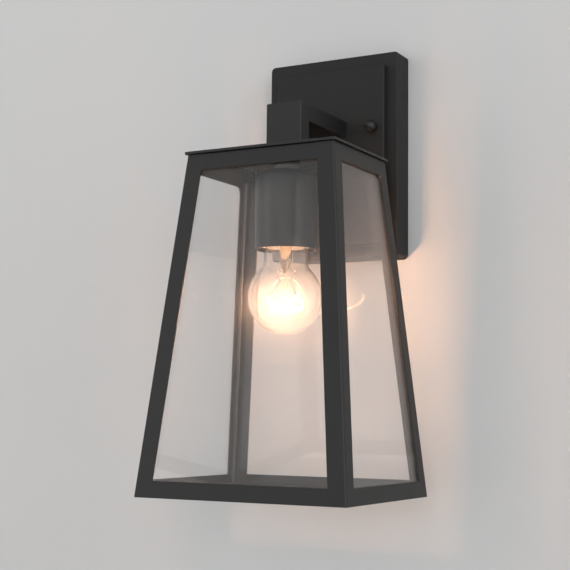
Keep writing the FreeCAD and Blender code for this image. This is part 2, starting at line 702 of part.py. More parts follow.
# ---------------------------------------------------------------- lamp cup and lampholder
CUP_TOP = f"({ROOF} - spacer_height - cup_nut_height)"


def below_cup_top(distance):
    return f"({CUP_TOP} - ({distance}))"


def make_cup_fixings():
    """Nipple through the roof, with the spacer and nut that hang the cup from it."""
    node("cup_nipple", pipe("lower_nipple", "nipple_radius", "nipple_bore",
                            f"{LEG_FOOT} + foot_plate - {below_cup_top('holder_chamber_top')}",
                            CENTRE, below_cup_top("holder_chamber_top"), "up"))
    node("cup_spacer", pipe("cup_collar", "spacer_radius", "nipple_radius", "spacer_height",
                            CENTRE, f"{ROOF} - spacer_height", "up"))
    solid = hexagon("cup_nut_solid", "cup_nut_flats", "cup_nut_height", "0", CENTRE, CUP_TOP)
    hole = cylinder("cup_nut_hole", "nipple_radius", "cup_nut_height", "0", CENTRE, CUP_TOP)
    node("cup_nut", cut("cup_nut_shape", solid, hole))


def make_cup():
    """Deep-drawn steel cup, open below."""
    body = turned("cup_shell", [
        ("nipple_radius", "0"), ("cup_radius", "0"), ("cup_radius", "-cup_length"),
        ("cup_radius - cup_wall", "-cup_length"), ("cup_radius - cup_wall", "-cup_wall"),
        ("nipple_radius", "-cup_wall")], out=CENTRE, level=CUP_TOP)
    for radius, reach, level in (("cup_shoulder", "cup_radius", "0"),
                                 ("cup_shoulder - cup_wall", "cup_radius - cup_wall", "-cup_wall")):
        size, height = value(reach), value(level)
        round_edges(body, radius, lambda e: (lies_at(e, 2, height) and hasattr(e.Curve, "Radius")
                                             and abs(e.Curve.Radius - size) < 1e-4))
    node("lamp_cup", body)


def make_lampholder():
    """Glazed porcelain holder: terminal chamber above, threaded well below."""
    body = turned("holder_porcelain", [
        ("nipple_radius", "-holder_top"), ("holder_radius - holder_bevel", "-holder_top"),
        ("holder_radius", "-holder_top - holder_bevel_height"), ("holder_radius", "-holder_end"),
        ("skirt_radius", "-holder_end"), ("skirt_radius", "-skirt_top"),
        ("holder_well", "-skirt_top"), ("holder_well", "-holder_floor"),
        ("contact_radius + contact_ease", "-holder_floor"),
        ("contact_radius + contact_ease", "-holder_chamber_end"),
        ("holder_chamber", "-holder_chamber_end"), ("holder_chamber", "-holder_chamber_top"),
        ("nipple_radius", "-holder_chamber_top")], out=CENTRE, level=CUP_TOP)
    node("lampholder_body", body)
    shell = turned("holder_shell", [
        ("shell_radius - shell_wall", "-holder_floor"), ("shell_radius", "-holder_floor"),
        ("shell_radius", "-shell_end"), ("shell_radius - shell_wall", "-shell_end")],
        out=CENTRE, level=CUP_TOP)
    node("threaded_shell", shell)
    tip = "(-globe_drop + lamp_length - globe_radius - frame_drop)"
    seat = below_cup_top("holder_chamber_end")
    post = cylinder("contact_post", "contact_radius", f"{seat} - {tip} - contact_gap", "0", CENTRE,
                    f"{tip} + contact_gap")
    flange = cylinder("contact_plate", "contact_flange", "contact_plate", "0", CENTRE, seat)
    node("centre_contact", join("contact", [post, flange]))
    terminals = []
    for side, word in SIDES:
        half = "terminal_size / 2"
        middle = f"({side} * terminal_offset)"
        block = box(f"terminal_solid_{word}", (f"{middle} - {half}", f"{middle} + {half}"),
                    (f"{CENTRE} - {half}", f"{CENTRE} + {half}"),
                    (seat, f"{seat} + terminal_height"))
        hole = cylinder(f"terminal_bore_{word}", "wire_radius", "terminal_height", middle,
                        CENTRE, f"{seat} + terminal_height / 2")
        terminals.append(cut(f"holder_terminal_{word}", block, hole))
    node("holder_terminals", group("holder_terminal_pair", terminals))


# ---------------------------------------------------------------- lamp
def globe_outline(body, inset):
    """Globe, blended into a straight neck that narrows to the cap; its middle is the origin."""
    radius, neck = f"(globe_radius - {inset})", f"(neck_radius - {inset})"
    blend, cap = f"(neck_blend + {inset})", f"(cap_radius - cap_wall - {inset})"
    top = f"(neck_end + neck_seat - {inset})"
    # the blend's centre is one blend outside both the globe and the neck
    blend_x = f"({neck} + {blend})"
    blend_y = f"sqrt(({radius} + {blend}) ^ 2 - {blend_x} ^ 2)"
    r, n, b = value(radius), value(neck), value(blend)
    bx, by = value(blend_x), value(blend_y)
    touch = FreeCAD.Vector(bx * r / (r + b), by * r / (r + b), 0)
    rise, end = value("neck_rise"), value("neck_end")
    up = FreeCAD.Vector(0, 0, 1)
    globe = Part.ArcOfCircle(Part.Circle(FreeCAD.Vector(), up, r), -math.pi / 2,
                             math.atan2(touch.y, touch.x))
    waist = Part.ArcOfCircle(Part.Circle(FreeCAD.Vector(bx, by, 0), up, b), math.pi,
                             math.atan2(touch.y - by, touch.x - bx) % (2 * math.pi))
    seat = value(top)
    corners = [(n, by), (n, rise), (value(cap), end), (value(cap), seat), (0, seat), (0, -r)]
    points = [FreeCAD.Vector(x, y, 0) for x, y in corners]
    sketch = new_sketch(body, "XZ_Plane")
    sketch.addGeometry([globe, waist], False)
    for start, stop in zip(points, points[1:]):
        sketch.addGeometry(Part.LineSegment(start, stop), False)
    link = Sketcher.Constraint
    for one, one_end, two, two_end in ((0, 2, 1, 2), (1, 1, 2, 1)):
        sketch.addConstraint(link("Tangent", one, one_end, two, two_end))
    for one, two in ((2, 3), (3, 4), (4, 5), (5, 6), (6, 0)):
        sketch.addConstraint(link("Coincident", one, 2, two, 1))
    sketch.addConstraint(link("Coincident", 0, 3, -1, 1))
    sketch.addConstraint(link("Vertical", 2))
    for line, formula in ((0, radius), (1, blend)):
        index = sketch.addConstraint(link("Radius", line, value(formula)))
        sketch.setExpression(f"Constraints[{index}]", linked(formula))
    pin_point(sketch, 3, 1, neck, "neck_rise")
    pin_point(sketch, 4, 1, cap, "neck_end")
    pin_point(sketch, 5, 1, cap, top)
    pin_point(sketch, 6, 1, "0", top)
    sketch.addConstraint(link("Vertical", 6))
    return sketch


GLOBE = "(-frame_drop - globe_drop)"


def globe_solid(name, inset):
    body = doc.addObject("PartDesign::Body", name)
    sketch = globe_outline(body, inset)
    item = body.newObject("PartDesign::Revolution", f"{name}_turn")
    item.Profile = sketch
    item.ReferenceAxis = (sketch, ["V_Axis"])
    item.Angle = 360
    doc.recompute()
    return place(body, out=CENTRE, level=GLOBE)


def make_globe():
    outer = globe_solid("globe_outer", "0")
    inner = globe_solid("globe_inner", "globe_wall")
    mouth = cylinder("globe_mouth", "stem_flare - 1", "neck_seat", "0", CENTRE,
                     f"{GLOBE} + neck_end + globe_wall")
    node("bulb_glass", cut("globe_shell", outer, join("globe_hollow", [inner, mouth])))


def make_cap():
    """Screw cap with its glass insulator and solder tip."""
    tip = "(lamp_length - globe_radius)"
    top = f"({tip} - tip_height - insulator_height)"
    foot = f"({top} - cap_length)"
    crest, root = "cap_radius", "(cap_radius - cap_thread)"
    ridge = []
    for turn in range(int(value("thread_turns"))):
        start = f"{top} - thread_top - {turn} * thread_pitch"
        ridge += [(root, start), (crest, f"{start} - 0.4 * thread_pitch"),
                  (root, f"{start} - 0.8 * thread_pitch")]
    profile = [("0", top), (root, top)] + ridge
    profile += [(crest, f"{foot} + skirt_height"), (crest, foot), (f"{crest} - cap_wall", foot),
                (f"{crest} - cap_wall", f"{foot} + skirt_height - cap_wall"),
                (f"{root} - cap_wall", f"{foot} + skirt_height + cap_thread"),
                (f"{root} - cap_wall", f"{top} - cap_wall"),
                ("0", f"{top} - cap_wall")]
    node("bulb_cap", turned("cap_shell", profile, out=CENTRE, level=GLOBE))
    cone = doc.addObject("Part::Cone", "insulator_cone")
    bind(cone, {"Radius1": "insulator_radius", "Radius2": "insulator_tip",
                "Height": f"{tip} - tip_height - {top}"})
    node("bulb_insulator", place(cone, out=CENTRE, level=f"{GLOBE} + {top}"))
    node("bulb_contact", cylinder("solder_tip", "tip_radius", "tip_height", "0", CENTRE,
                                  f"{GLOBE} + {tip} - tip_height"))


def make_stem():
    """Flared glass stem, its flat press and the button that carries the support wires."""
    flare = "(neck_end + neck_seat - globe_wall)"
    node("bulb_stem", turned("glass_stem", [
        ("0", flare), ("stem_flare", flare), ("stem_radius + 1", f"{flare} - flare_height"),
        ("stem_radius", "stem_end + 6"), ("stem_radius - 1", "stem_end"),
        ("button_radius / 2", "stem_end - 2"), ("button_radius / 2", "button_end + 2"),
        ("button_radius", "button_end + 1"), ("button_radius", "button_end - 1"),
        ("0", "button_end - 1.5")], out=CENTRE, level=GLOBE))


def in_globe(name, shape):
    """A shape made round the origin, set round the globe's middle."""
    item = doc.addObject("Part::Feature", name)
    item.Shape = shape
    return place(item, out=CENTRE, level=GLOBE)


def around(angle, radius, level):
    turn = math.radians(angle)
    return FreeCAD.Vector(radius * math.cos(turn), radius * math.sin(turn), level)


def rounded_path(points, bend):
    """Straight runs joined by tangent arcs of one radius."""
    edges = []
    start = points[0]
    for before, corner, after in zip(points, points[1:], points[2:]):
        back = before.sub(corner).normalize()
        ahead = after.sub(corner).normalize()
        half = math.acos(max(-1.0, min(1.0, back.dot(ahead)))) / 2
        radius = min(bend, 0.45 * math.tan(half) * min(before.distanceToPoint(corner),
                                                       after.distanceToPoint(corner)))
        reach = radius / math.tan(half)
        enter, leave = corner + back * reach, corner + ahead * reach
        inward = (back + ahead).normalize()
        middle = corner + inward * (radius / math.sin(half) - radius)
        edges.append(Part.LineSegment(start, enter).toShape())
        edges.append(Part.Arc(enter, middle, leave).toShape())
        start = leave
    edges.append(Part.LineSegment(start, points[-1]).toShape())
    return Part.Wire(edges)


def swept(points, radius, bend):
    """A round wire that follows straight runs and the arcs between them."""
    path = rounded_path(points, bend)
    start = path.Edges[0]
    circle = Part.Circle(points[0], start.tangentAt(start.FirstParameter), radius)
    return path.makePipeShell([Part.Wire(circle.toShape())], True, False), path.Length


def make_filament():
    """Filament bowed round the globe's middle, low at the back, with its leads and hooks."""
    radius, thick, gap = value("ring_radius"), value("ring_wire"), value("ring_gap")
    tilt = math.radians(value("ring_tilt"))
    drop = FreeCAD.Vector(0, 0, -value("ring_drop"))
    ring = Part.makeTorus(radius, thick, FreeCAD.Vector(), ALONG_Z, -180, 180, 360 - gap)
    ring.rotate(FreeCAD.Vector(), ALONG_Z, gap / 2 + 270)
    ring.rotate(FreeCAD.Vector(), ALONG_X, -value("ring_tilt"))
    ring.translate(drop)
    node("bulb_filament", in_globe("filament_ring", ring))

    def above_ring(angle, rise):
        flat = around(angle, radius, 0)
        return FreeCAD.Vector(flat.x, flat.y * math.cos(tilt),
                              rise - flat.y * math.sin(tilt)).add(drop)

    wire_radius, hook = value("lead_wire"), value("hook_wire")
    leads = []
    for word, side, angle in (("left", -1, 270 - gap / 2), ("right", 1, 270 + gap / 2)):
        stops = [(value("stem_radius") - 1.6, value("stem_end") + 1),
                 (value("lead_waist"), value("stem_end") - 2),
                 (value("lead_bow"), value("lead_bow_level")),
                 (value("lead_waist"), value("lead_waist_level"))]
        points = [FreeCAD.Vector(side * across, 0, level) for across, level in stops]
        points.append(above_ring(angle, thick + wire_radius))
        shape, _ = swept(points, wire_radius, value("lead_curve"))
        leads.append(in_globe(f"lead_in_{word}", shape))
    node("bulb_leads", group("lead_in_pair", leads))
    hooks = []
    count = int(value("hook_count"))
    for index in range(count):
        angle = 270 + gap / 2 + (360 - gap) * (index + 1) / (count + 1)
        start = around(angle, value("button_radius") * 0.9, value("button_end"))
        run = above_ring(angle, thick + hook).sub(start)
        hooks.append(in_globe(f"hook_{index}", Part.makeCylinder(hook, run.Length, start, run)))
    node("bulb_supports", group("hook_set", hooks))


# ---------------------------------------------------------------- internal leads
def lead(word, stops):
    """An insulated wire through stops given as across, out and level."""
    radius = value("wire_radius")
    points = [FreeCAD.Vector(across, -out, level) for across, out, level in stops]
    sweep, length = swept(points, radius, value("wire_bend"))
    print(f"lead_{word}: volume {sweep.Volume:.1f}, "
          f"section times length {math.pi * radius ** 2 * length:.1f}")
    item = doc.addObject("Part::Feature", f"lead_shape_{word}")
    item.Shape = sweep
    node(f"lead_{word}", item)


def make_leads():
    """Live and neutral leads through the arm to the lampholder, and the strap's earth lead."""
    block_top = value("-block_drop + block_height / 2")
    terminal = value(f"{below_cup_top('holder_chamber_end')} + terminal_height / 2")
    chamber = value(below_cup_top("holder_chamber_top"))
    centre, back, out = value(CENTRE), value("wire_turn_out"), value("block_bore_out")
    inside = block_top - value("wire_in_block")
    above = block_top + value("wire_above_block")
    leaves, spreads = value("wire_leaves"), value("wire_spreads")
    pitch = value("block_pitch")
    for side, word, entry in ((-1, "live", -pitch), (1, "neutral", 0)):
        apart, hung = side * value("wire_spacing"), side * value("terminal_offset")
        lead(word, [(entry, out, inside), (entry, out, above), (apart, back, 0),
                    (apart, centre, 0), (apart, centre, chamber - leaves),
                    (hung, centre, chamber - spreads), (hung, centre, terminal)])
    beside = value("earth_offset - stud_radius - wire_radius")
    clamped = value("strap_depth + earth_gap / 2")
    turns_up = above + value("earth_rise")
    lead("earth", [(pitch, out, inside), (pitch, out, above), (beside, clamped, turns_up),
                   (beside, clamped, value("screw_head"))])


# ---------------------------------------------------------------- build, check, write
def check(items):
    for item in doc.Objects:
        bad = [state for state in item.State if state in ("Invalid", "Error")]
        if bad:
            raise RuntimeError(f"{item.Label}: {bad}")
    for item in items:
        shape = item.Shape
        if shape.isNull() or not shape.isValid() or not shape.Solids:
            raise RuntimeError(f"{item.Label}: no sound solid")
        if min(solid.Volume for solid in shape.Solids) <= 0:
            raise RuntimeError(f"{item.Label}: a solid is inside out")


def write(items):
    os.makedirs("parts", exist_ok=True)
    for item in items:
        item.Shape.exportStep(os.path.join("parts", f"{item.Label}.step"))


for make in (make_wall_plate, make_raised_panel, make_gasket, make_strap, make_studs,
             make_cap_nuts, make_earth_screw, make_terminal_block, make_arm, make_arm_plates,
             make_arm_fixings, make_posts, make_top_rails, make_bottom_rails, make_panes,
             make_corner_brackets, make_roof, make_cup_fixings, make_cup, make_lampholder,
             make_globe, make_cap, make_stem, make_filament, make_leads):
    make()
doc.recompute()
check(nodes)
write(nodes)
print(f"{len(nodes)} nodes written")
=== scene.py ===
import math

import bmesh
import bpy
from mathutils import Matrix, Vector


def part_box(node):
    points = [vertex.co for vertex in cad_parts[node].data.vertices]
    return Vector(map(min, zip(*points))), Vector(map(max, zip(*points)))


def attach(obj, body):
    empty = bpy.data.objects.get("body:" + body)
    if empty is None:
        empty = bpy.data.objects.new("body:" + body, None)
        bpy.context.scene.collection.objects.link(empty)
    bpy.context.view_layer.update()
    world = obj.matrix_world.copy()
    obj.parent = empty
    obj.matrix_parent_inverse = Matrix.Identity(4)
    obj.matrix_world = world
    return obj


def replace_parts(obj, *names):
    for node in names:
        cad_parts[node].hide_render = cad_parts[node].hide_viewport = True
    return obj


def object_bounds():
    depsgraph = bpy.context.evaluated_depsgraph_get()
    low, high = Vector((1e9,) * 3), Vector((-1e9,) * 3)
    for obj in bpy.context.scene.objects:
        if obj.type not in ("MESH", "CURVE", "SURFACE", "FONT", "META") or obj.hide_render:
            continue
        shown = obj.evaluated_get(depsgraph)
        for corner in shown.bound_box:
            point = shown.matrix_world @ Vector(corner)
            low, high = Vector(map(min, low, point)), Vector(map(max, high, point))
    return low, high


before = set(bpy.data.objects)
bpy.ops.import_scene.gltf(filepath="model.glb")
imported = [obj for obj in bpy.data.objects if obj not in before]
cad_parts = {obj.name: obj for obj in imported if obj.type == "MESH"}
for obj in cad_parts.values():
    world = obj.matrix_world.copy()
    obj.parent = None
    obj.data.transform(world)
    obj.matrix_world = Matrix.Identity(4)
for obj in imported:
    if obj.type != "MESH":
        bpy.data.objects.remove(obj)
cad_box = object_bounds()

MM = 0.001
LANTERN, LAMP = "lantern", "lamp"


# ---- Studio -----------------------------------------------------------------
# A plain matt wall behind the lantern, a pale floor far below it and a pale surround, with a
# soft box to the left and a strip light to the right. All of it is staging: none of it is part
# of the lantern.

def add_node(tree, kind, inputs=None, **settings):
    """Add one node with its settings; inputs are values or other nodes' outputs."""
    node = tree.nodes.new(kind)
    for name, setting in settings.items():
        setattr(node, name, setting)
    for name, given in (inputs or {}).items():
        if isinstance(given, bpy.types.NodeSocket):
            tree.links.new(given, node.inputs[name])
        else:
            node.inputs[name].default_value = given
    return node


def colour(code):
    """An sRGB hex colour as the linear values that shaders take."""
    parts = [int(code[start:start + 2], 16) / 255 for start in (1, 3, 5)]
    return [part / 12.92 if part <= 0.04045 else ((part + 0.055) / 1.055) ** 2.4
            for part in parts] + [1.0]


def new_material(name):
    """An empty material, its node tree, and the object's own coordinates in metres."""
    made = bpy.data.materials.new(name)
    made.use_nodes = True
    made.node_tree.nodes.clear()
    place = add_node(made.node_tree, "ShaderNodeTexCoord").outputs["Object"]
    return made, made.node_tree, place


def show(tree, shader):
    """Send a finished shader to the material's output."""
    add_node(tree, "ShaderNodeOutputMaterial", {"Surface": shader.outputs[0]})


def drift(tree, place, patch, first, second, detail=2.0):
    """Patches of a real size, and a tone that drifts between two colours over them."""
    patches = add_node(tree, "ShaderNodeTexNoise", {
        "Vector": place, "Scale": 1 / patch, "Detail": detail}).outputs["Fac"]
    tone = add_node(tree, "ShaderNodeMix", {
        "Factor": patches, "A": colour(first), "B": colour(second)}, data_type="RGBA")
    return patches, tone.outputs["Result"]


def clouded(name, patch, first, second, surface, relief=None):
    """A material with a drifting tone.

    surface has the shader's own values; relief is how strong and how deep the patches stand.
    """
    made, tree, place = new_material(name)
    patches, tone = drift(tree, place, patch, first, second)
    surface = {"Base Color": tone} | surface
    if relief:
        surface["Normal"] = add_node(tree, "ShaderNodeBump", {
            "Height": patches, "Strength": relief[0], "Distance": relief[1]}).outputs["Normal"]
    show(tree, add_node(tree, "ShaderNodeBsdfPrincipled", surface))
    return made


def add_object(name, data):
    """A new object in the scene, made of a mesh, a light or a camera."""
    made = bpy.data.objects.new(name, data)
    bpy.context.scene.collection.objects.link(made)
    return made


def rectangle(left, right, low, high):
    """The corners of a rectangle, in order round it."""
    return [(left, low), (right, low), (right, high), (left, high)]


def sheet_of(name, points, faces, material):
    """A plain sheet of the studio, which isn't part of the lantern."""
    mesh = bpy.data.meshes.new(name)
    mesh.from_pydata(points, [], faces)
    mesh.materials.append(material)
    add_object(name, mesh)


def soft_light(name, place, target, width, height, power):
    """A white soft box that faces a target."""
    lamp = bpy.data.lights.new(name, "AREA")
    lamp.shape = "RECTANGLE"
    lamp.size, lamp.size_y = width, height
    lamp.energy = power
    made = add_object(name, lamp)
    made.location = place
    made.rotation_euler = (Vector(target) - Vector(place)).to_track_quat("-Z", "Y").to_euler()


# emulsion, rolled on: dead matt, with a faint stipple
paint, tree, place = new_material("wall_emulsion_rolled")
stipple = add_node(tree, "ShaderNodeTexNoise", {"Vector": place, "Scale": 1 / (3 * MM)})
relief = add_node(tree, "ShaderNodeBump", {"Height": stipple.outputs["Fac"], "Strength": 0.2,
                                           "Distance": 0.05 * MM})
matt = add_node(tree, "ShaderNodeBsdfPrincipled", {
    "Base Color": colour("#CDCDCD"), "Roughness": 0.95, "Specular IOR Level": 0.2,
    "Normal": relief.outputs["Normal"]})
seen_from_behind = add_node(tree, "ShaderNodeNewGeometry").outputs["Backfacing"]
open_air = add_node(tree, "ShaderNodeBsdfTransparent")
show(tree, add_node(tree, "ShaderNodeMixShader", {
    0: seen_from_behind, 1: matt.outputs[0], 2: open_air.outputs[0]}))

# the wall is cut out behind the wall plate, and rays from its back pass through it, so that
# the lantern's own back is lit and can be seen
wall_out, wall_low, wall_high, hidden, behind = 3.0, -1.5, 2.2, 3 * MM, 0.2 * MM
plate_low, plate_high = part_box("wall_plate")
wall_y = plate_high.y + behind
wall_edge = rectangle(-wall_out, wall_out, wall_low, wall_high)
cut_out = rectangle(plate_low.x + hidden, plate_high.x - hidden, plate_low.z + hidden,
                    plate_high.z - hidden)
sheet_of("studio_wall", [(x, wall_y, z) for x, z in wall_edge + cut_out],
         [(side, (side + 1) % 4, 4 + (side + 1) % 4, 4 + side) for side in range(4)], paint)

# painted board: matt and pale, faintly mottled
board = clouded("floor_board_matt", 40 * MM, "#E4E4E2", "#EAEAE8", {"Roughness": 0.9})
floor_out, floor_front, floor_back = 4, -5, 3
sheet_of("studio_floor", [(x, y, wall_low) for x, y in rectangle(
    -floor_out, floor_out, floor_front, floor_back)], [(0, 1, 2, 3)], board)

object_middle = (cad_box[0] + cad_box[1]) / 2
soft_light("key_soft_box", (-1.9, -1.6, 0.35), object_middle, 0.9, 1.2, 3)
soft_light("edge_strip", (1.7, -0.85, 0.45), object_middle, 0.2, 1.2, 3)

# the surround is brightest level with the lantern, dimmer overhead, and darker where a flag
# keeps light off the front glass
surround = bpy.data.worlds.new("pale_surround")
surround.use_nodes = True
tree = surround.node_tree
tree.nodes.clear()
toward = add_node(tree, "ShaderNodeTexCoord").outputs["Generated"]
straight_out = add_node(tree, "ShaderNodeVectorMath", {0: toward, 1: (0, -1, 0)},
                        operation="DOT_PRODUCT")
front = add_node(tree, "ShaderNodeMapRange", {
    "Value": straight_out.outputs["Value"], "From Min": -0.3, "From Max": 1.0, "To Min": 0.75,
    "To Max": 1.88}, interpolation_type="SMOOTHSTEP")
height = add_node(tree, "ShaderNodeSeparateXYZ", {0: toward}).outputs["Z"]
overhead = add_node(tree, "ShaderNodeMapRange", {
    "Value": height, "From Min": 0.15, "From Max": 0.9, "To Min": 1.0, "To Max": 0.3},
    interpolation_type="SMOOTHSTEP")
at_flag = add_node(tree, "ShaderNodeVectorMath", {0: toward, 1: (-0.478, -0.843, 0.247)},
                   operation="DOT_PRODUCT")
flag = add_node(tree, "ShaderNodeMapRange", {
    "Value": at_flag.outputs["Value"], "From Min": 0.80, "From Max": 0.975, "To Min": 1.0,
    "To Max": 0.35}, interpolation_type="SMOOTHSTEP")
strength = add_node(tree, "ShaderNodeMath", {
    0: front.outputs["Result"], 1: overhead.outputs["Result"]}, operation="MULTIPLY")
strength = add_node(tree, "ShaderNodeMath", {
    0: strength.outputs[0], 1: flag.outputs["Result"]}, operation="MULTIPLY")
light = add_node(tree, "ShaderNodeBackground", {"Color": colour("#FAFAFA"),
                                                "Strength": strength.outputs[0]})
# what the eye sees past the wall and the floor, and through glass, is a plain pale grey
backdrop = add_node(tree, "ShaderNodeBackground", {"Color": colour("#E6E6E6")})
ray = add_node(tree, "ShaderNodeLightPath")
for kind in ("Is Camera Ray", "Is Transmission Ray"):
    light = add_node(tree, "ShaderNodeMixShader", {
        0: ray.outputs[kind], 1: light.outputs[0], 2: backdrop.outputs[0]})
add_node(tree, "ShaderNodeOutputWorld", {"Surface": light.outputs[0]})
bpy.context.scene.world = surround
bpy.context.scene.view_settings.view_transform = "Standard"


# ---- Camera -----------------------------------------------------------------
# It stands to the lantern's right and a little below its middle, and looks slightly up.
camera_place = Vector((0.4827, -0.9885, -0.2434))
turn_left, look_up, lean = (math.radians(angle) for angle in (28.654, 5.815, 0.629))
ahead = Vector((-math.sin(turn_left) * math.cos(look_up),
                math.cos(turn_left) * math.cos(look_up), math.sin(look_up)))
level_right = Vector((math.cos(turn_left), math.sin(turn_left), 0))
level_up = level_right.cross(ahead)
right = level_right * math.cos(lean) + level_up * math.sin(lean)
up = level_up * math.cos(lean) - level_right * math.sin(lean)

lens = bpy.data.cameras.new("camera")
lens.lens = 79.7
lens.sensor_width = 36
camera = add_object("camera", lens)
camera.matrix_world = Matrix.Translation(camera_place) @ Matrix(
    (right, up, -ahead)).transposed().to_4x4()
bpy.context.scene.camera = camera


# ---- Mounting strap, studs, lock nuts and earth screw -----------------------
# Zinc plated steel: a punched strap screwed to the wall, with two threaded studs held by lock
# nuts, and a green-sleeved earth wire under a pan head screw.

OUT, DOWN, UP = Vector((0, -1, 0)), Vector((0, 0, -1)), Vector((0, 0, 1))


def finish(material, *nodes):
    """Give CAD nodes that already have the right shape their real material."""
    for node in nodes:
        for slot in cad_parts[node].material_slots:
            slot.material = material


def middle(node):
    """The middle of a CAD node's box."""
    low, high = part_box(node)
    return (low + high) / 2


def stand(place, axis):
    """The turn and move that put a shape's own Z along an axis, with its origin at a place."""
    return Matrix.Translation(place) @ axis.to_track_quat("Z", "Y").to_matrix().to_4x4()


def spokes(sides):
    """Angles spaced evenly round a circle."""
    return [2 * math.pi * side / sides for side in range(sides)]


def round_about(place, axis, steps, sides=72):
    """Rings of points about an axis, one for each (radius, height) step along it."""
    turn = stand(place, axis)
    return [[turn @ Vector((radius * math.cos(spoke), radius * math.sin(spoke), height))
             for spoke in spokes(sides)] for radius, height in steps]


def dome(radius, height, rim, rows=6):
    """Steps up a dome whose side ends, and whose crown starts, at a share of its height."""
    return [(radius * math.cos(rise), height * (rim + (1 - rim) * math.sin(rise)))
            for rise in (math.pi / 2 * row / rows for row in range(rows))] + [(0, height)]


def settle(name, work, material, body, crease=40):
    """Turn finished mesh work into a piece that rides on its body, smooth up to a crease."""
    same_place = 0.0001 * MM
    bmesh.ops.remove_doubles(work, verts=work.verts, dist=same_place)
    bmesh.ops.recalc_face_normals(work, faces=work.faces)
    mesh = bpy.data.meshes.new(name)
    work.to_mesh(mesh)
    work.free()
    mesh.materials.append(material)
    mesh.shade_smooth()
    mesh.set_sharp_from_angle(angle=math.radians(crease))
    made = add_object(name, mesh)
    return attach(made, body)


def skin(work, rings, ends="capped"):
    """Run a surface over rings of points. Its ends are capped, open, or looped into each other."""
    points = [[work.verts.new(point) for point in ring] for ring in rings]
    count = len(points[0])
    following = points[1:] + (points[:1] if ends == "looped" else [])
    for ring, after in zip(points, following):
        for side in range(count):
            beside = (side + 1) % count
            work.faces.new((ring[side], ring[beside], after[beside], after[side]))
    if ends == "capped":
        work.faces.new(list(reversed(points[0])))
        work.faces.new(points[-1])
    return work


def softened(outline, radius, steps=4):
    """A closed outline with every corner rounded off, over less than half of each side."""
    rounded = []
    corners = [Vector(corner) for corner in outline]
    for before, corner, after in zip(corners[-1:] + corners, corners, corners[1:] + corners[:1]):
        back, onward = before - corner, after - corner
        reach = min(radius, 0.45 * back.length, 0.45 * onward.length)
        start = corner + back.normalized() * reach
        end = corner + onward.normalized() * reach
        for step in range(steps + 1):
            share = step / steps
            rounded.append(start * (1 - share) ** 2 + corner * 2 * share * (1 - share)
                           + end * share ** 2)
    return [tuple(point) for point in rounded]


def v_form(phase):
    """A cut thread: straight flanks up to a crest."""
    return 1 - abs(2 * phase - 1)


def thread_steps(place, axis, crest, root, pitch, length, form=v_form, steps=8, sides=32):
    """Rings of a screw thread that runs out at both ends."""
    turn = stand(place, axis)
    rings = []
    for row in range(round(length / pitch * steps) + 1):
        height = row * pitch / steps
        runout = min(1, height / pitch, (length - height) / pitch)
        ring = []
        for side, spoke in enumerate(spokes(sides)):
            phase = (height / pitch - side / sides) % 1
            radius = root + (crest - root) * form(phase) * max(0, runout)
            ring.append(turn @ Vector((radius * math.cos(spoke), radius * math.sin(spoke),
                                       min(height, length))))
        rings.append(ring)
    return rings


def hexagon_nut(place, axis, flats, height, bore, sides=72):
    """Rings of a hexagon nut whose corners are chamfered at both faces."""
    turn = stand(place, axis)
    inner, lead_in, chamfer = 0.475 * flats, 0.06 * flats, math.radians(30)
    foot_rim, top_rim = [], []
    for spoke in spokes(sides):
        off_flat = (spoke + math.pi / 6) % (math.pi / 3) - math.pi / 6
        radius = flats / 2 / math.cos(off_flat)
        fall = max(0, radius - inner) * math.tan(chamfer)
        for rim, level in ((foot_rim, fall), (top_rim, height - fall)):
            rim.append(turn @ Vector((radius * math.cos(spoke), radius * math.sin(spoke),
                                      level)))
    foot = round_about(place, axis, [(bore, lead_in), (bore + lead_in, 0), (inner, 0)], sides)
    top = round_about(place, axis, [(inner, height), (bore + lead_in, height),
                                    (bore, height - lead_in)], sides)
    return foot + [foot_rim, top_rim] + top


def carve(piece, cutters):
    """Cut other pieces' shapes out of a piece, and use them up."""
    for cutter in cutters:
        step = piece.modifiers.new("carve", "BOOLEAN")
        step.operation = "DIFFERENCE"
        step.solver = "EXACT"
        step.object = cutter
    graph = bpy.context.evaluated_depsgraph_get()
    whole = piece.data
    piece.data = bpy.data.meshes.new_from_object(piece.evaluated_get(graph))
    piece.modifiers.clear()
    bpy.data.meshes.remove(whole)
    for cutter in cutters:
        bpy.data.objects.remove(cutter)


def cutter_box(place, axis, size):
    """A box to carve with, centred on a place."""
    work = bmesh.new()
    bmesh.ops.create_cube(work, size=1, matrix=stand(place, axis) @ Matrix.Diagonal(
        Vector(size).to_4d()))
    mesh = bpy.data.meshes.new("cutter")
    work.to_mesh(mesh)
    work.free()
    return add_object("cutter", mesh)


def pan_screw(kind, where, node, metal, seat, axis, head, foot, run, thread):
    """A pan head screw with a cross recess, in place of a CAD node.

    The head is (radius, height), its underside at the seat and its top along the axis. The
    thread is (crest, depth, pitch, length) and runs its own way from a foot.
    """
    (radius, height), (crest, groove, pitch, length) = head, thread
    top = settle(f"{kind}_head{where}", skin(bmesh.new(), round_about(
        seat, axis, [(radius * 0.97, 0), (radius, height * 0.1)] + dome(radius, height, 0.45),
        sides=48)), metal, LANTERN)
    wide, long, deep = 0.32 * radius, 1.2 * radius, 0.8 * height
    carve(top, [cutter_box(seat + axis * height, axis, size)
                for size in ((long, wide, deep), (wide, long, deep))])
    shank = settle(f"{kind}_shank{where}", skin(bmesh.new(), thread_steps(
        foot, run, crest, crest - groove, pitch, length, sides=24)), metal, LANTERN)
    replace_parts(top, node)
    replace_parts(shank, node)


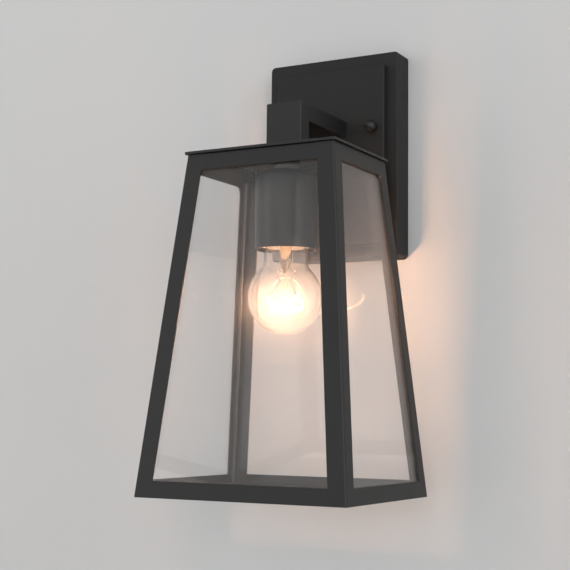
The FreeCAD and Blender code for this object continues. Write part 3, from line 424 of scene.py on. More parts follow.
def zinc_plate(name, cool, warm):
    """Barrel zinc plated steel: a drift between two tones, and fine scratches from the barrel."""
    made, tree, place = new_material(name)
    _, tone = drift(tree, place, 9 * MM, cool, warm, 3.0)
    scratches = add_node(tree, "ShaderNodeTexNoise", {
        "Vector": place, "Scale": 1 / (0.8 * MM), "Detail": 4.0, "Roughness": 0.7})
    matness = add_node(tree, "ShaderNodeMapRange", {
        "Value": scratches.outputs["Fac"], "To Min": 0.28, "To Max": 0.5})
    relief = add_node(tree, "ShaderNodeBump", {"Height": scratches.outputs["Fac"],
                                               "Strength": 0.3, "Distance": 0.01 * MM})
    show(tree, add_node(tree, "ShaderNodeBsdfPrincipled", {
        "Base Color": tone, "Metallic": 1.0, "Roughness": matness.outputs["Result"],
        "Normal": relief.outputs["Normal"]}))
    return made


# clear passivated: a bright grey with a faint blue and yellow drift
zinc = zinc_plate("steel_zinc_plated", "#B9BCBF", "#C6C2B2")
finish(zinc, "mounting_strap")

stud_low, stud_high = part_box("strap_studs")
stud_radius, stud_length = (stud_high.z - stud_low.z) / 2, stud_high.y - stud_low.y
stud_out, stud_pitch, stud_groove = stud_high.x - stud_radius, 0.7 * MM, 0.32 * MM
nut_low, nut_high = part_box("stud_nuts")
work_studs, work_nuts = bmesh.new(), bmesh.new()
for side in (-1, 1):
    foot = Vector((side * stud_out, stud_high.y, 0))
    skin(work_studs, thread_steps(foot, OUT, stud_radius, stud_radius - stud_groove, stud_pitch,
                                  stud_length, sides=24))
    skin(work_nuts, hexagon_nut(Vector((foot.x, nut_high.y, 0)), OUT, nut_high.z - nut_low.z,
                                nut_high.y - nut_low.y, stud_radius), "looped")
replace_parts(settle("threaded_studs", work_studs, zinc, LANTERN), "strap_studs")
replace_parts(settle("stud_lock_nuts", work_nuts, zinc, LANTERN, 20), "stud_nuts")

low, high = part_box("earth_screw")
earth, head_height = middle("earth_screw"), 2.4 * MM
seat, tip = (Vector((earth.x, out, earth.z)) for out in (low.y + head_height, high.y))
pan_screw("earth_screw", "", "earth_screw", zinc, seat, OUT,
          ((high.z - low.z) / 2, head_height), tip, OUT,
          (stud_radius, stud_groove, stud_pitch, high.y - seat.y))


# ---- Gasket -----------------------------------------------------------------
# A strip of dark closed-cell foam, stuck round the inside of the wall plate's rim, that seals
# it against the wall. It is cut from sheet, so the cells that the knife opened show as pits,
# with painted shade darkening their hollows.

foam, tree, place = new_material("foam_closed_cell_cut")
cells = add_node(tree, "ShaderNodeTexVoronoi", {"Vector": place, "Scale": 1 / (0.9 * MM)})
# painted shade: each opened cell is coloured darker towards the bottom of its pit, where shade
# falls
shade = add_node(tree, "ShaderNodeMix", {
    "Factor": cells.outputs["Distance"], "A": colour("#1D1D1F"), "B": colour("#353537")},
    data_type="RGBA")
relief = add_node(tree, "ShaderNodeBump", {"Height": cells.outputs["Distance"],
                                           "Strength": 0.8, "Distance": 0.2 * MM})
show(tree, add_node(tree, "ShaderNodeBsdfPrincipled", {
    "Base Color": shade.outputs["Result"], "Roughness": 0.95, "Specular IOR Level": 0.2,
    "Normal": relief.outputs["Normal"]}))
finish(foam, "wall_gasket")


# ---- Terminal block and its screws ------------------------------------------
# A three-way block of moulded pale polyamide inside the wall plate, with slotted zinc plated
# screws in its wells that clamp the supply cable and the leads.

def eased(name, node, radius, material, body, open_edge=None, levels=()):
    """A CAD node's own shape with its convex edges rounded, all or by open_edge's share.

    levels are heights at which a face is split, so that its edges can differ above and below.
    """
    same_place, flat, turned, crease = 0.001 * MM, math.radians(1), math.radians(40), 30
    work = bmesh.new()
    work.from_mesh(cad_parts[node].data)
    bmesh.ops.remove_doubles(work, verts=work.verts, dist=same_place)
    bmesh.ops.dissolve_limit(work, angle_limit=flat, verts=work.verts, edges=work.edges)
    for level in levels:
        bmesh.ops.bisect_plane(work, geom=work.verts[:] + work.edges[:] + work.faces[:],
                               plane_co=(0, 0, level), plane_no=(0, 0, 1))
    weight = work.edges.layers.float.new("bevel_weight_edge")
    for edge in work.edges:
        if len(edge.link_faces) == 2 and edge.calc_face_angle_signed() > turned:
            edge[weight] = float(open_edge(edge)) if open_edge else 1.0
    mesh = bpy.data.meshes.new(name)
    work.to_mesh(mesh)
    work.free()
    for leftover in ("custom_normal", "sharp_face"):
        if leftover in mesh.attributes:
            mesh.attributes.remove(mesh.attributes[leftover])
    mesh.materials.clear()
    mesh.materials.append(material)
    mesh.shade_smooth()
    mesh.set_sharp_from_angle(angle=math.radians(crease))
    made = add_object(name, mesh)
    step = made.modifiers.new("eased", "BEVEL")
    step.limit_method = "WEIGHT"
    step.width = radius
    step.segments = 3
    step.harden_normals = True
    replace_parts(made, node)
    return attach(made, body)


# polyamide, moulded: a satin off-white that lets a little light in
polyamide = clouded("polyamide_moulded", 4 * MM, "#DAD8CE", "#E4E2DA", {
    "Roughness": 0.42, "IOR": 1.53, "Subsurface Weight": 0.1, "Subsurface Scale": 1 * MM},
    (0.2, 0.05 * MM))
eased("terminal_block_body", "terminal_block", 0.6 * MM, polyamide, LANTERN)

low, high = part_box("terminal_screws")
screw_radius, depth = (high.z - low.z) / 2, high.y - low.y
screw_groove, screw_pitch, slot_wide, slot_deep = 0.25 * MM, 0.6 * MM, 0.7 * MM, 1.6 * MM
way_pitch = (high.x - low.x) / 2 - screw_radius
for way, word in ((-1, "live"), (0, "neutral"), (1, "earth")):
    seat = Vector((way * way_pitch, low.y, middle("terminal_screws").z))
    screw = settle(f"terminal_screw_{word}", skin(bmesh.new(), thread_steps(
        seat, -OUT, screw_radius, screw_radius - screw_groove, screw_pitch, depth, sides=24)),
        zinc, LANTERN)
    carve(screw, [cutter_box(seat - OUT * depth, -OUT,
                             (2.2 * screw_radius, slot_wide, slot_deep))])
    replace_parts(screw, "terminal_screws")


# ---- Leads ------------------------------------------------------------------
# Single-core wires in soft sleeves: brown and blue through the arm to the lampholder, and the
# strap's earth lead in green with a yellow stripe.

def sleeve(name, base, grain, stripe=None):
    """Extruded PVC insulation: a soft satin, mottled, or striped up to a place across it."""
    made, tree, place = new_material(name)
    mottle, shade = drift(tree, place, 1.5 * MM, base, grain)
    if stripe:
        across = add_node(tree, "ShaderNodeSeparateXYZ", {0: place})
        inside = add_node(tree, "ShaderNodeMath", {0: across.outputs["X"], 1: stripe[0]},
                          operation="LESS_THAN")
        shade = add_node(tree, "ShaderNodeMix", {
            "Factor": inside.outputs[0], "A": shade, "B": colour(stripe[1])},
            data_type="RGBA").outputs["Result"]
    relief = add_node(tree, "ShaderNodeBump", {"Height": mottle, "Strength": 0.2,
                                               "Distance": 0.02 * MM})
    show(tree, add_node(tree, "ShaderNodeBsdfPrincipled", {
        "Base Color": shade, "Roughness": 0.45, "Normal": relief.outputs["Normal"]}))
    return made


stripe_edge = middle("lead_earth").x - 0.2 * MM
finish(sleeve("sleeve_brown_extruded", "#5A3018", "#6A3C20"), "lead_live")
finish(sleeve("sleeve_blue_extruded", "#2050A0", "#2C5CB0"), "lead_neutral")
finish(sleeve("sleeve_green_yellow_extruded", "#2E8A3A", "#389844",
              (stripe_edge, "#D8C838")), "lead_earth")


# ---- Wall plate and raised panel --------------------------------------------
# Two trays pressed from sheet steel, the smaller one laid on the larger, coated together in
# charcoal powder. The two cap nuts and the arm's screws hold them.

def powder_coat(name, dark, light, smoothest, shine, peel_depth):
    """Polyester powder, sprayed and baked: matt, a slow drift in tone, and a fine orange peel."""
    made, tree, place = new_material(name)
    _, tone = drift(tree, place, 35 * MM, dark, light)
    # real peel is about 1 mm across; it is drawn at 2 mm so that it shows
    peel = add_node(tree, "ShaderNodeTexNoise", {"Vector": place, "Scale": 1 / (2 * MM),
                                                 "Detail": 1.0})
    matness = add_node(tree, "ShaderNodeMapRange", {
        "Value": peel.outputs["Fac"], "To Min": smoothest, "To Max": smoothest + 0.06})
    relief = add_node(tree, "ShaderNodeBump", {"Height": peel.outputs["Fac"],
                                               "Strength": 0.25, "Distance": peel_depth})
    show(tree, add_node(tree, "ShaderNodeBsdfPrincipled", {
        "Base Color": tone, "Roughness": matness.outputs["Result"],
        "Specular IOR Level": shine, "Normal": relief.outputs["Normal"]}))
    return made


plate_coat = powder_coat("powder_coat_plate", "#181818", "#1C1C1C", 0.58, 0.38, 0.02 * MM)
finish(plate_coat, "wall_plate", "raised_panel")


# ---- Cap nuts ---------------------------------------------------------------
# Ball-headed cap nuts, turned from brass and powder coated black, that draw the plate onto the
# strap's studs. They are a little smoother than the pressed sheet.

cap_coat = powder_coat("powder_coat_turned", "#101010", "#141414", 0.38, 0.5, 0.02 * MM)
finish(cap_coat, "cap_nut_left", "cap_nut_right")


# ---- Arm and its fixings ----------------------------------------------------
# Rectangular steel tube, mitred and welded into an angle, its seam ground flush, and powder
# coated in charcoal. Zinc plated end plates, a hollow threaded nipple, a nut and washer and
# two screws fix it to the wall plate, out of sight.

charcoal = powder_coat("powder_coat_charcoal", "#161616", "#1A1A1A", 0.45, 0.48, 0.02 * MM)
finish(charcoal, "arm_tube")
finish(zinc, "arm_end_plate", "arm_foot_plate", "arm_washer")


def nipple(name, node, axis):
    """Hollow threaded tube, M10 x 1, that carries the wires through a joint."""
    pitch, groove, wall = 1.0 * MM, 0.5 * MM, 1.2 * MM
    low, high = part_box(node)
    size = high - low
    radius, length = size.x / 2, max(size)
    foot = middle(node) - axis * length / 2
    outside = thread_steps(foot, axis, radius, radius - groove, pitch, length)
    inside = round_about(foot, axis, [(radius - wall, length), (radius - wall, 0)], sides=32)
    made = settle(name, skin(bmesh.new(), outside + inside, "looped"), zinc, LANTERN)
    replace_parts(made, node)


def nipple_nut(name, node, axis):
    """The hexagon nut of a nipple, its flats square to the lantern, its foot behind the axis."""
    low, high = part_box(node)
    size, bore = high - low, 5 * MM
    height = size.y if axis.y else size.z
    nut = settle(name, skin(bmesh.new(), hexagon_nut(
        middle(node) - axis * height / 2, axis, min(size.x, size.z if axis.y else size.y),
        height, bore), "looped"), zinc, LANTERN, 20)
    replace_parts(nut, node)


nipple("arm_hollow_nipple", "arm_nipple", OUT)
nipple_nut("arm_back_nut", "arm_nut", OUT)

low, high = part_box("arm_screws")
head_radius, head_height = (high.z - low.z) / 2, 2 * MM
crest, groove, pitch = 1.5 * MM, 0.25 * MM, 0.5 * MM
for side, word in ((-1, "left"), (1, "right")):
    seat = Vector((side * (high.x - head_radius), high.y - head_height, middle("arm_screws").z))
    pan_screw("arm_screw", f"_{word}", "arm_screws", zinc, seat, -OUT,
              (head_radius, head_height), seat, OUT, (crest, groove, pitch, seat.y - low.y))


# ---- Roof and corner brackets -----------------------------------------------
# A flat steel plate a little larger than the frame's top, coated in charcoal powder. Four
# folded brackets welded into the frame's corners carry it on screws from below, and their lips
# hold the panes back.

eased("roof_sheet", "roof_plate", 0.6 * MM, charcoal, LANTERN)
corners = [(face, side) for face in ("front", "rear") for side in ("left", "right")]
for face, side in corners:
    eased(f"pane_bracket_{face}_{side}", f"corner_bracket_{face}_{side}", 0.4 * MM, charcoal,
          LANTERN)

# black passivated, so that they don't show against the coat
black_zinc = zinc_plate("steel_zinc_black", "#46484A", "#504E48")
low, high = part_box("roof_screws")
head_radius, head_height = 3.1 * MM, 2.4 * MM
crest, groove, pitch = 1.9 * MM, 0.3 * MM, 0.7 * MM
seat_level = low.z + head_height
for face, side in corners:
    seat = Vector(((high.x - head_radius) * (1 if side == "right" else -1),
                   low.y + head_radius if face == "front" else high.y - head_radius,
                   seat_level))
    pan_screw("roof_screw", f"_{face}_{side}", "roof_screws", black_zinc, seat, DOWN,
              (head_radius, head_height), seat, UP, (crest, groove, pitch, high.z - seat_level))


# ---- Frame ------------------------------------------------------------------
# Four leaning corner posts of folded sheet steel and eight rails between them, welded, ground
# flush and powder coated as one. Each post is bent round a small radius. Only edges that stay
# open are eased: the butt joints are flush, so no seam shows through the coat.

frame_foot, frame_top = (corner.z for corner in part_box("post_front_left"))
opening_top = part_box("top_rail_front")[0].z
opening_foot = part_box("bottom_rail_front")[1].z
sheet_edge, post_bend = 0.4 * MM, 1.6 * MM


def rail_edge(node, along):
    """Picks a rail's long edges, which stay open; those of its two end faces don't."""
    centre, end_facing = middle(node)[along], 0.8

    def stays_open(edge):
        return not any(abs(face.normal[along]) > end_facing
                       and face.normal[along] * (face.calc_center_median()[along] - centre) > 0
                       for face in edge.link_faces)
    return stays_open


for word, along in (("front", 0), ("rear", 0), ("left", 1), ("right", 1)):
    for rail in ("top_rail", "bottom_rail"):
        node = f"{rail}_{word}"
        eased(f"frame_{node}", node, sheet_edge, charcoal, LANTERN,
              rail_edge(node, along))


def post_edge(side, face):
    """A post's outer corner is bent; its foot and what no rail covers have sheet edges."""
    out_facing, same_level, sheet = 0.5, 0.01 * MM, 5 * MM

    def share(edge):
        turned_out = [normal.x * side > out_facing or normal.y * face > out_facing
                      for normal in (link.normal for link in edge.link_faces)]
        level = (edge.verts[0].co.z + edge.verts[1].co.z) / 2
        at_foot = abs(level - frame_foot) < same_level and edge.calc_length() > sheet
        if all(turned_out):
            return 1.0
        return sheet_edge / post_bend * (at_foot or opening_foot < level < opening_top)
    return share


for face, side in corners:
    node = f"post_{face}_{side}"
    eased(f"frame_{node}", node, post_bend, charcoal, LANTERN,
          post_edge(1 if side == "right" else -1, -1 if face == "front" else 1),
          (opening_foot, opening_top))


# ---- Roof seal --------------------------------------------------------------
# A strip of thin black foam, stuck on top of the frame and pressed flat by the roof, that
# keeps rain out and light in.

inset, strip_wide, bulge, strip_corner = 3.2 * MM, 9 * MM, 0.2 * MM, 3 * MM
roof_low, roof_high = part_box("roof_plate")


def seal_ring(inset, level):
    """The seal's outline at a level, inset from the roof's edge."""
    wide, deep = (roof_high.x - roof_low.x) / 2 - inset, (roof_high.y - roof_low.y) / 2 - inset
    outline = softened(rectangle(-wide, wide, -deep, deep), strip_corner)
    return [Vector((x, middle("roof_plate").y + y, level)) for x, y in outline]


settle("roof_seal", skin(bmesh.new(), [
    seal_ring(inset, frame_top), seal_ring(inset - bulge, (frame_top + roof_low.z) / 2),
    seal_ring(inset, roof_low.z), seal_ring(inset + strip_wide, roof_low.z),
    seal_ring(inset + strip_wide, frame_top)], "looped"), foam, LANTERN)


# ---- Panes ------------------------------------------------------------------
# Clear float glass, cut to the frame's taper with its edges ground, standing in the bottom
# rails and held back by the brackets' lips.

def clear_glass(name, tint, index, waves, rim=None, haze=0.0, haze_tint="#FFFFFF",
                spread=0.5):
    """Glass that shows reflections to the eye, and lets the lamp's light straight through.

    A curved wall is darker at its rim, where the eye looks along it: a little of that is
    absorption along the longer path, most of it painted shade drawn into the colour. Dust makes a
    haze.
    """
    made, tree, place = new_material(name)
    swell = add_node(tree, "ShaderNodeTexNoise", {"Vector": place, "Scale": 1 / waves})
    relief = add_node(tree, "ShaderNodeBump", {"Height": swell.outputs["Fac"],
                                               "Strength": 0.1, "Distance": 0.05 * MM})
    shader = add_node(tree, "ShaderNodeBsdfPrincipled", {
        "Base Color": colour(tint), "Roughness": 0.02, "IOR": index,
        "Transmission Weight": 1.0, "Normal": relief.outputs["Normal"]})
    # painted shade: the base colour darkens towards the rim colour where the eye looks along the
    # wall, drawing a dark outline
    if rim:
        slant = add_node(tree, "ShaderNodeLayerWeight", {"Blend": 0.5})
        depth = add_node(tree, "ShaderNodeMapRange", {
            "Value": slant.outputs["Facing"], "From Min": 0.7, "From Max": 0.95})
        body = add_node(tree, "ShaderNodeMix", {
            "Factor": depth.outputs["Result"], "A": colour(tint), "B": colour(rim)},
            data_type="RGBA")
        tree.links.new(body.outputs["Result"], shader.inputs["Base Color"])
    if haze:
        dust = add_node(tree, "ShaderNodeBsdfPrincipled", {
            "Base Color": colour(haze_tint), "Roughness": spread, "IOR": index,
            "Transmission Weight": 1.0})
        shader = add_node(tree, "ShaderNodeMixShader", {
            0: haze, 1: shader.outputs[0], 2: dust.outputs[0]})
    ray = add_node(tree, "ShaderNodeLightPath")
    straight = add_node(tree, "ShaderNodeBsdfTransparent", {"Color": colour(tint)})
    for kind in ("Is Shadow Ray", "Is Diffuse Ray"):
        shader = add_node(tree, "ShaderNodeMixShader", {
            0: ray.outputs[kind], 1: shader.outputs[0], 2: straight.outputs[0]})
    show(tree, shader)
    return made


pane_glass = clear_glass("glass_float_clear", "#FFFFFF", 1.45, 60 * MM, haze=0.03,
                         spread=0.75)
for word in ("front", "rear", "left", "right"):
    eased(f"glazing_{word}", f"pane_{word}", 0.3 * MM, pane_glass, LANTERN)


# ---- Lamp cup and what hangs it ---------------------------------------------
# A cup deep drawn from sheet steel, powder coated smoother than the frame. A hollow nipple
# through the roof holds it, with a coated collar above and a hexagon nut under it.

cup_coat = powder_coat("powder_coat_drawn_cup", "#1A1919", "#1E1D1D", 0.34, 0.55, 0.001 * MM)
finish(cup_coat, "lamp_cup", "cup_spacer")
nipple("cup_hollow_nipple", "cup_nipple", UP)
nipple_nut("cup_top_nut", "cup_nut", UP)


# ---- Lampholder -------------------------------------------------------------
# Glazed porcelain round a thin brass shell with a rolled thread, with a sprung brass contact
# and two brass terminals in the chamber above. Its thin skirt reaches down round the lamp.

# porcelain, glazed: a warm white under a wet gloss that ripples a little
porcelain = clouded("porcelain_glazed", 6 * MM, "#E2DED2", "#EAE7DD", {
    "Roughness": 0.12, "IOR": 1.5, "Coat Weight": 0.5, "Coat Roughness": 0.05},
    (0.3, 0.1 * MM))


def bare_metal(name, patch, cool, warm, smoothest, roughest, detail=2.0, alight=None):
    """Metal with no coat: its tone and its gloss drift together over patches of a real size."""
    made, tree, place = new_material(name)
    patches, tone = drift(tree, place, patch, cool, warm, detail)
    matness = add_node(tree, "ShaderNodeMapRange", {
        "Value": patches, "To Min": smoothest, "To Max": roughest})
    show(tree, add_node(tree, "ShaderNodeBsdfPrincipled", {
        "Base Color": tone, "Metallic": 1.0, "Roughness": matness.outputs["Result"]}
        | (alight or {})))
    return made


# brass, drawn: yellow, half polished, with duller patches
brass = bare_metal("brass_drawn", 5 * MM, "#C9A35C", "#B98F48", 0.2, 0.4, detail=3.0)

low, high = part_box("lampholder_body")
lamp_axis = Vector((0, middle("lampholder_body").y, 0))
holder_radius, holder_height = (high.x - low.x) / 2, high.z - low.z
# heights are from the holder's foot
skirt_bore, skirt_top, well, floor_up = 17.9 * MM, 8.8 * MM, 14.3 * MM, 37.8 * MM
chamber, chamber_foot, chamber_top, waist = 13 * MM, 41.3 * MM, 53.8 * MM, 32.8 * MM
neck_bore, post_bore, bevel, groove = 5 * MM, 4.2 * MM, 3 * MM, 0.6 * MM
glaze_round = 0.8 * MM
outline = [(well, skirt_top), (skirt_bore, skirt_top), (skirt_bore, 0), (holder_radius, 0),
           (holder_radius, waist - groove), (holder_radius - groove, waist),
           (holder_radius, waist + groove), (holder_radius, holder_height - 2 * bevel),
           (holder_radius - bevel, holder_height), (neck_bore, holder_height),
           (neck_bore, chamber_top), (chamber, chamber_top), (chamber, chamber_foot),
           (post_bore, chamber_foot), (post_bore, floor_up), (well, floor_up)]
holder_foot = Vector((0, lamp_axis.y, low.z))
holder = settle("lampholder_porcelain", skin(bmesh.new(), round_about(
    holder_foot, UP, softened(outline, glaze_round)), "looped"), porcelain, LANTERN)
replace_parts(holder, "lampholder_body")


def rolled_thread(foot, crest, depth, length):
    """Rings of an E27 lamp thread rolled in sheet, with round crests and round roots."""
    pitch, rows_per_turn, sides = 3.62 * MM, 12, 72

    def round_form(phase):
        return 0.5 - 0.5 * math.cos(2 * math.pi * phase)

    return thread_steps(foot, UP, crest, crest - depth, pitch, length, round_form,
                        rows_per_turn, sides)


low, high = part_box("threaded_shell")
shell_radius, shell_height = (high.x - low.x) / 2, high.z - low.z
shell_sheet, shell_thread = 0.3 * MM, 0.55 * MM
shell_foot = Vector((0, lamp_axis.y, low.z))
outside = rolled_thread(shell_foot, shell_radius, shell_thread, shell_height)
inside = rolled_thread(shell_foot, shell_radius - shell_sheet, shell_thread, shell_height)
shell = settle("holder_screw_shell", skin(bmesh.new(), outside + inside[::-1], "looped"), brass,
               LANTERN, 60)
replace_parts(shell, "threaded_shell")
finish(brass, "centre_contact", "holder_terminals")


# ---- Lamp: glass ------------------------------------------------------------
# A clear 60 mm globe, blown in one with its neck, and inside it the flared stem tube, pinched
# flat where it seals the leads and drawn down to a solid rod with a button.

low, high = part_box("bulb_glass")
globe_radius, glass_wall = (high.x - low.x) / 2, 0.8 * MM
globe = Vector((0, middle("bulb_glass").y, low.z + globe_radius))
neck_radius, neck_blend, neck_rise = 17.6 * MM, 12 * MM, 38 * MM
cap_inside, seal_rise, seal_top = 12.7 * MM, 48.3 * MM, high.z - globe.z


def globe_steps(inset):
    """The globe, a hollow blend and the neck up to the cap, as (radius, height) steps."""
    ball, neck, blend = globe_radius - inset, neck_radius - inset, neck_blend + inset
    blend_out = neck + blend
    blend_up = math.sqrt((ball + blend) ** 2 - blend_out ** 2)
    touch, ball_rows, blend_rows = math.atan2(blend_up, blend_out), 40, 12
    lower = [(ball * math.cos(angle), ball * math.sin(angle)) for angle in
             (-math.pi / 2 + (touch + math.pi / 2) * row / ball_rows
              for row in range(ball_rows + 1))]
    upper = [(blend_out - blend * math.cos(angle), blend_up - blend * math.sin(angle))
             for angle in (touch * (1 - row / blend_rows) for row in range(1, blend_rows + 1))]
    return lower + upper + [(neck, neck_rise), (cap_inside - inset, seal_rise)]


# a fine haze scatters more blue than red, so the glow in it is paler than the lamp's own light;
# the rim colour is painted shade, a dark outline drawn round the globe's edge
lamp_glass = clear_glass("glass_lamp_blown", "#FFFEFC", 1.5, 25 * MM, rim="#B2ACA0",
                         haze=0.042, haze_tint="#C4DEFF")
outside = globe_steps(0) + [(cap_inside, seal_top)]
inside = globe_steps(glass_wall) + [(cap_inside - glass_wall, seal_top)]
bulb = settle("lamp_globe", skin(bmesh.new(), round_about(
    globe, UP, outside + inside[::-1], sides=128), "looped"), lamp_glass, LAMP,
    60)
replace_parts(bulb, "bulb_glass")

flare_top = middle("bulb_stem").z * 2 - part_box("bulb_stem")[0].z - globe.z
press_top, press_foot, button_level = 32 * MM, 24 * MM, 8 * MM
# (level, half width, half depth) down the stem, the last two in millimetres
stem_steps = [
    (flare_top, 11.5, 11.5), (flare_top - 1 * MM, 9.5, 9.5), (flare_top - 3 * MM, 6.6, 6.6),
    (flare_top - 8 * MM, 4.8, 4.8), (press_top + 3 * MM, 4.4, 4.4), (press_top, 4.6, 3.0),
    (press_top - 2 * MM, 4.9, 1.9), (press_foot + 1 * MM, 4.8, 1.7),
    (press_foot - 1 * MM, 2.6, 1.6), (press_foot - 3 * MM, 1.3, 1.3),
    (button_level + 3 * MM, 1.2, 1.2), (button_level + 1.6 * MM, 2.1, 2.1),
    (button_level + 0.4 * MM, 2.6, 2.6), (button_level - 0.8 * MM, 2.2, 2.2),
    (button_level - 1.5 * MM, 0.1, 0.1)]
stem_rings = [[globe + Vector((wide * MM * math.cos(spoke), deep * MM * math.sin(spoke), level))
               for spoke in spokes(40)] for level, wide, deep in stem_steps]
# the same glass, clouded where it was pressed round the leads, so it catches the lamp's light
stem_glass = clear_glass("glass_stem_pressed", "#FFF6E6", 1.5, 25 * MM, haze=0.12)
stem = settle("lamp_stem", skin(bmesh.new(), stem_rings), stem_glass, LAMP, 60)
smoother = stem.modifiers.new("drawn", "SUBSURF")
smoother.levels = smoother.render_levels = 1
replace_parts(stem, "bulb_stem")


# ---- Lamp: filament, leads and hooks ----------------------------------------
# A coiled tungsten wire that hangs in a ring from fine hooks set in the glass button, and two
# nickel plated leads that bow out under the press. It is alight: a warm white.

def through(points, steps=10):
    """Places along a smooth line through a few points."""
    ends = [points[0] * 2 - points[1]] + points + [points[-1] * 2 - points[-2]]
    line = []
    for a, b, c, d in zip(ends, ends[1:], ends[2:], ends[3:]):
        for step in range(steps):
            t = step / steps
            line.append(0.5 * (2 * b + (c - a) * t + (2 * a - 5 * b + 4 * c - d) * t * t
                               + (3 * b - a - 3 * c + d) * t ** 3))
    return line + [points[-1]]


def wire(work, line, radius, sides=8):
    """A round wire along a line of places."""
    normal = (line[1] - line[0]).orthogonal().normalized()
    rings = []
    for index, point in enumerate(line):
        run = (line[min(index + 1, len(line) - 1)] - line[max(index - 1, 0)]).normalized()
        normal = (normal - run * normal.dot(run)).normalized()
        beside = run.cross(normal)
        rings.append([point + radius * (normal * math.cos(spoke) + beside * math.sin(spoke))
                      for spoke in spokes(sides)])
    return skin(work, rings)


ring_radius, ring_drop, hooks = 14.3 * MM, 3.7 * MM, 5
ring_gap, ring_tilt, gap_middle = math.radians(124), math.radians(28), math.radians(270)


def on_ring(share, radius=ring_radius, rise=0.0):
    """A place on the bowed filament, from one lead at share 0 round the back to the other."""
    angle = gap_middle + ring_gap / 2 + (2 * math.pi - ring_gap) * share
    back = radius * math.sin(angle)
    return globe + Vector((radius * math.cos(angle),
                           back * math.cos(ring_tilt) + rise * math.sin(ring_tilt),
                           rise * math.cos(ring_tilt) - back * math.sin(ring_tilt)
                           - ring_drop))


# tungsten, coiled and alight: grey wire, lost in the glare of its own warm light
glow = bare_metal("tungsten_coiled_alight", 0.3 * MM, "#827D78", "#928D88", 0.4, 0.6, alight={
    "Emission Color": colour("#FFC093"), "Emission Strength": 800.0})

# a real coil is about half as thick; it is drawn coarser so that it shows
coil_radius, coil_wire, coil_pitch, sag = 0.55 * MM, 0.18 * MM, 0.46 * MM, 0.9 * MM
ring_length, steps_per_turn = ring_radius * (2 * math.pi - ring_gap), 8
coil_steps = round(ring_length / coil_pitch) * steps_per_turn
coil = []
for step in range(coil_steps + 1):
    share = step / coil_steps
    hang = -sag * abs(math.sin(math.pi * share * (hooks + 1)))
    spin = 2 * math.pi * step / steps_per_turn
    coil.append(on_ring(share, ring_radius + coil_radius * math.cos(spin),
                        hang + coil_radius * math.sin(spin)))
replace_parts(settle("lamp_filament", wire(bmesh.new(), coil, coil_wire, 5), glow, LAMP,
                   60), "bulb_filament")

# nickel, plated on wire: bright and faintly yellow
nickel = bare_metal("wire_nickel_plated", 0.5 * MM, "#CFC8BA", "#B8B0A2", 0.18, 0.32)

lead_radius = 0.4 * MM
work_leads = bmesh.new()
for share, side in ((0, 1), (1, -1)):
    # how far out and how high above the globe's middle each lead bows, in millimetres
    bow = [Vector((side * x * MM, 0, z * MM)) for x, z in
           ((2.4, 27), (4.4, 22.5), (8.6, 18.2), (7.6, 15.0), (4.6, 13.2))]
    tip = on_ring(share, rise=coil_radius + lead_radius)
    wire(work_leads, through([globe + point for point in bow] + [tip]), lead_radius)
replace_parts(settle("lamp_leads", work_leads, nickel, LAMP, 60), "bulb_leads")

hook_radius, root_out, hook_bow = 0.24 * MM, 2 * MM, 1 * MM
curl, curl_entry, curl_start, curl_turn, curl_steps = 0.98 * MM, 0.6 * MM, 0.8 * math.pi, 0.9, 12
work_hooks = bmesh.new()
for index in range(hooks):
    centre = on_ring((index + 1) / (hooks + 1))
    outward = Vector((centre.x - globe.x, centre.y - globe.y, 0)).normalized()
    root = globe + outward * root_out + UP * button_level
    line = through([root, (root + centre) / 2 + UP * hook_bow,
                    centre - outward * curl + UP * curl_entry], 6)
    for step in range(1, curl_steps + 1):
        angle = curl_start - 2 * math.pi * curl_turn * step / curl_steps
        line.append(centre + curl * (outward * math.cos(angle) + UP * math.sin(angle)))
    wire(work_hooks, line, hook_radius, 6)
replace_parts(settle("lamp_hooks", work_hooks, nickel, LAMP, 60), "bulb_supports")


# ---- Lamp: screw cap --------------------------------------------------------
# A thin bright aluminium cap with a rolled thread, cemented to the glass, with a black glass
# insulator in its end and a blob of solder on the centre contact.

# aluminium, rolled bright: pale and shiny, a little dulled where it was worked
cap_metal = bare_metal("aluminium_rolled_bright", 3 * MM, "#CCCAC4", "#BDBAB2", 0.2, 0.36,
                       detail=3.0)

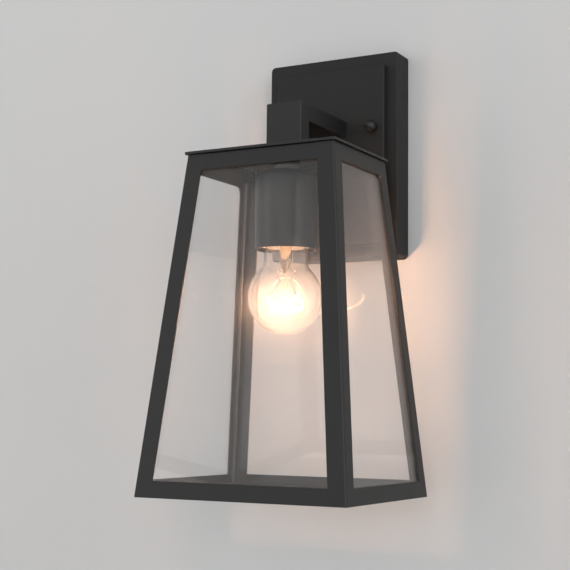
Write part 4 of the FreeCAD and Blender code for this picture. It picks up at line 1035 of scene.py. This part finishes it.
low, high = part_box("bulb_cap")
cap_radius, cap_height, cap_sheet = (high.x - low.x) / 2, high.z - low.z, 0.3 * MM
skirt, shoulder, cap_thread, insulator_wide = 3.2 * MM, 2 * MM, 0.8 * MM, 11 * MM
cap_root = cap_radius - cap_thread
cap_foot = Vector((0, globe.y, low.z))
rolled = rolled_thread(cap_foot + UP * skirt, cap_radius, cap_thread,
                       cap_height - skirt - shoulder)
outside = round_about(cap_foot, UP, [
    (cap_radius - 0.15 * MM, 0), (cap_radius, 0.15 * MM), (cap_radius, skirt - 1.2 * MM),
    (cap_radius - 0.2 * MM, skirt - 0.8 * MM), (cap_root, skirt - 0.2 * MM)], sides=72)
crown = round_about(cap_foot, UP, [
    (cap_root, cap_height - 1.2 * MM), (cap_root - 0.4 * MM, cap_height - 0.3 * MM),
    (cap_root - 1.2 * MM, cap_height), (insulator_wide, cap_height),
    (insulator_wide, cap_height - cap_sheet), (cap_root - 1 * MM, cap_height - cap_sheet),
    (cap_root - cap_sheet, cap_height - 1.5 * MM), (cap_root - cap_sheet, skirt),
    (cap_radius - cap_sheet, skirt - 1 * MM), (cap_radius - cap_sheet, 0)], sides=72)
cap = settle("lamp_screw_cap", skin(bmesh.new(), outside + rolled + crown, "looped"), cap_metal,
             LAMP, 60)
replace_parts(cap, "bulb_cap")

# black glass, pressed: violet black and glossy, with a faint swirl
vitrite = clouded("glass_black_pressed", 2.5 * MM, "#0E0B12", "#1B1622",
                  {"Roughness": 0.12, "IOR": 1.55})
low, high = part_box("bulb_insulator")
insulator_narrow, insulator_round = 5.2 * MM, 0.5 * MM
insulator = settle("lamp_insulator", skin(bmesh.new(), round_about(
    Vector((0, globe.y, low.z)), UP, softened([
        (0, 0), (insulator_wide, 0), (insulator_narrow, high.z - low.z), (0, high.z - low.z)],
        insulator_round))), vitrite, LAMP)
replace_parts(insulator, "bulb_insulator")

# solder, melted on: a dull grey shine, puckered as it set
solder = clouded("solder_tinned", 1.2 * MM, "#ACABA6", "#BCBBB6",
                 {"Metallic": 1.0, "Roughness": 0.3}, (0.5, 0.1 * MM))
low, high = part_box("bulb_contact")
tip_radius, tip_height = (high.x - low.x) / 2, high.z - low.z
contact = settle("lamp_contact", skin(bmesh.new(), round_about(
    Vector((0, globe.y, low.z)), UP, [(tip_radius * 0.96, 0)] + dome(tip_radius, tip_height, 0.4),
    sides=48)), solder, LAMP)
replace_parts(contact, "bulb_contact")
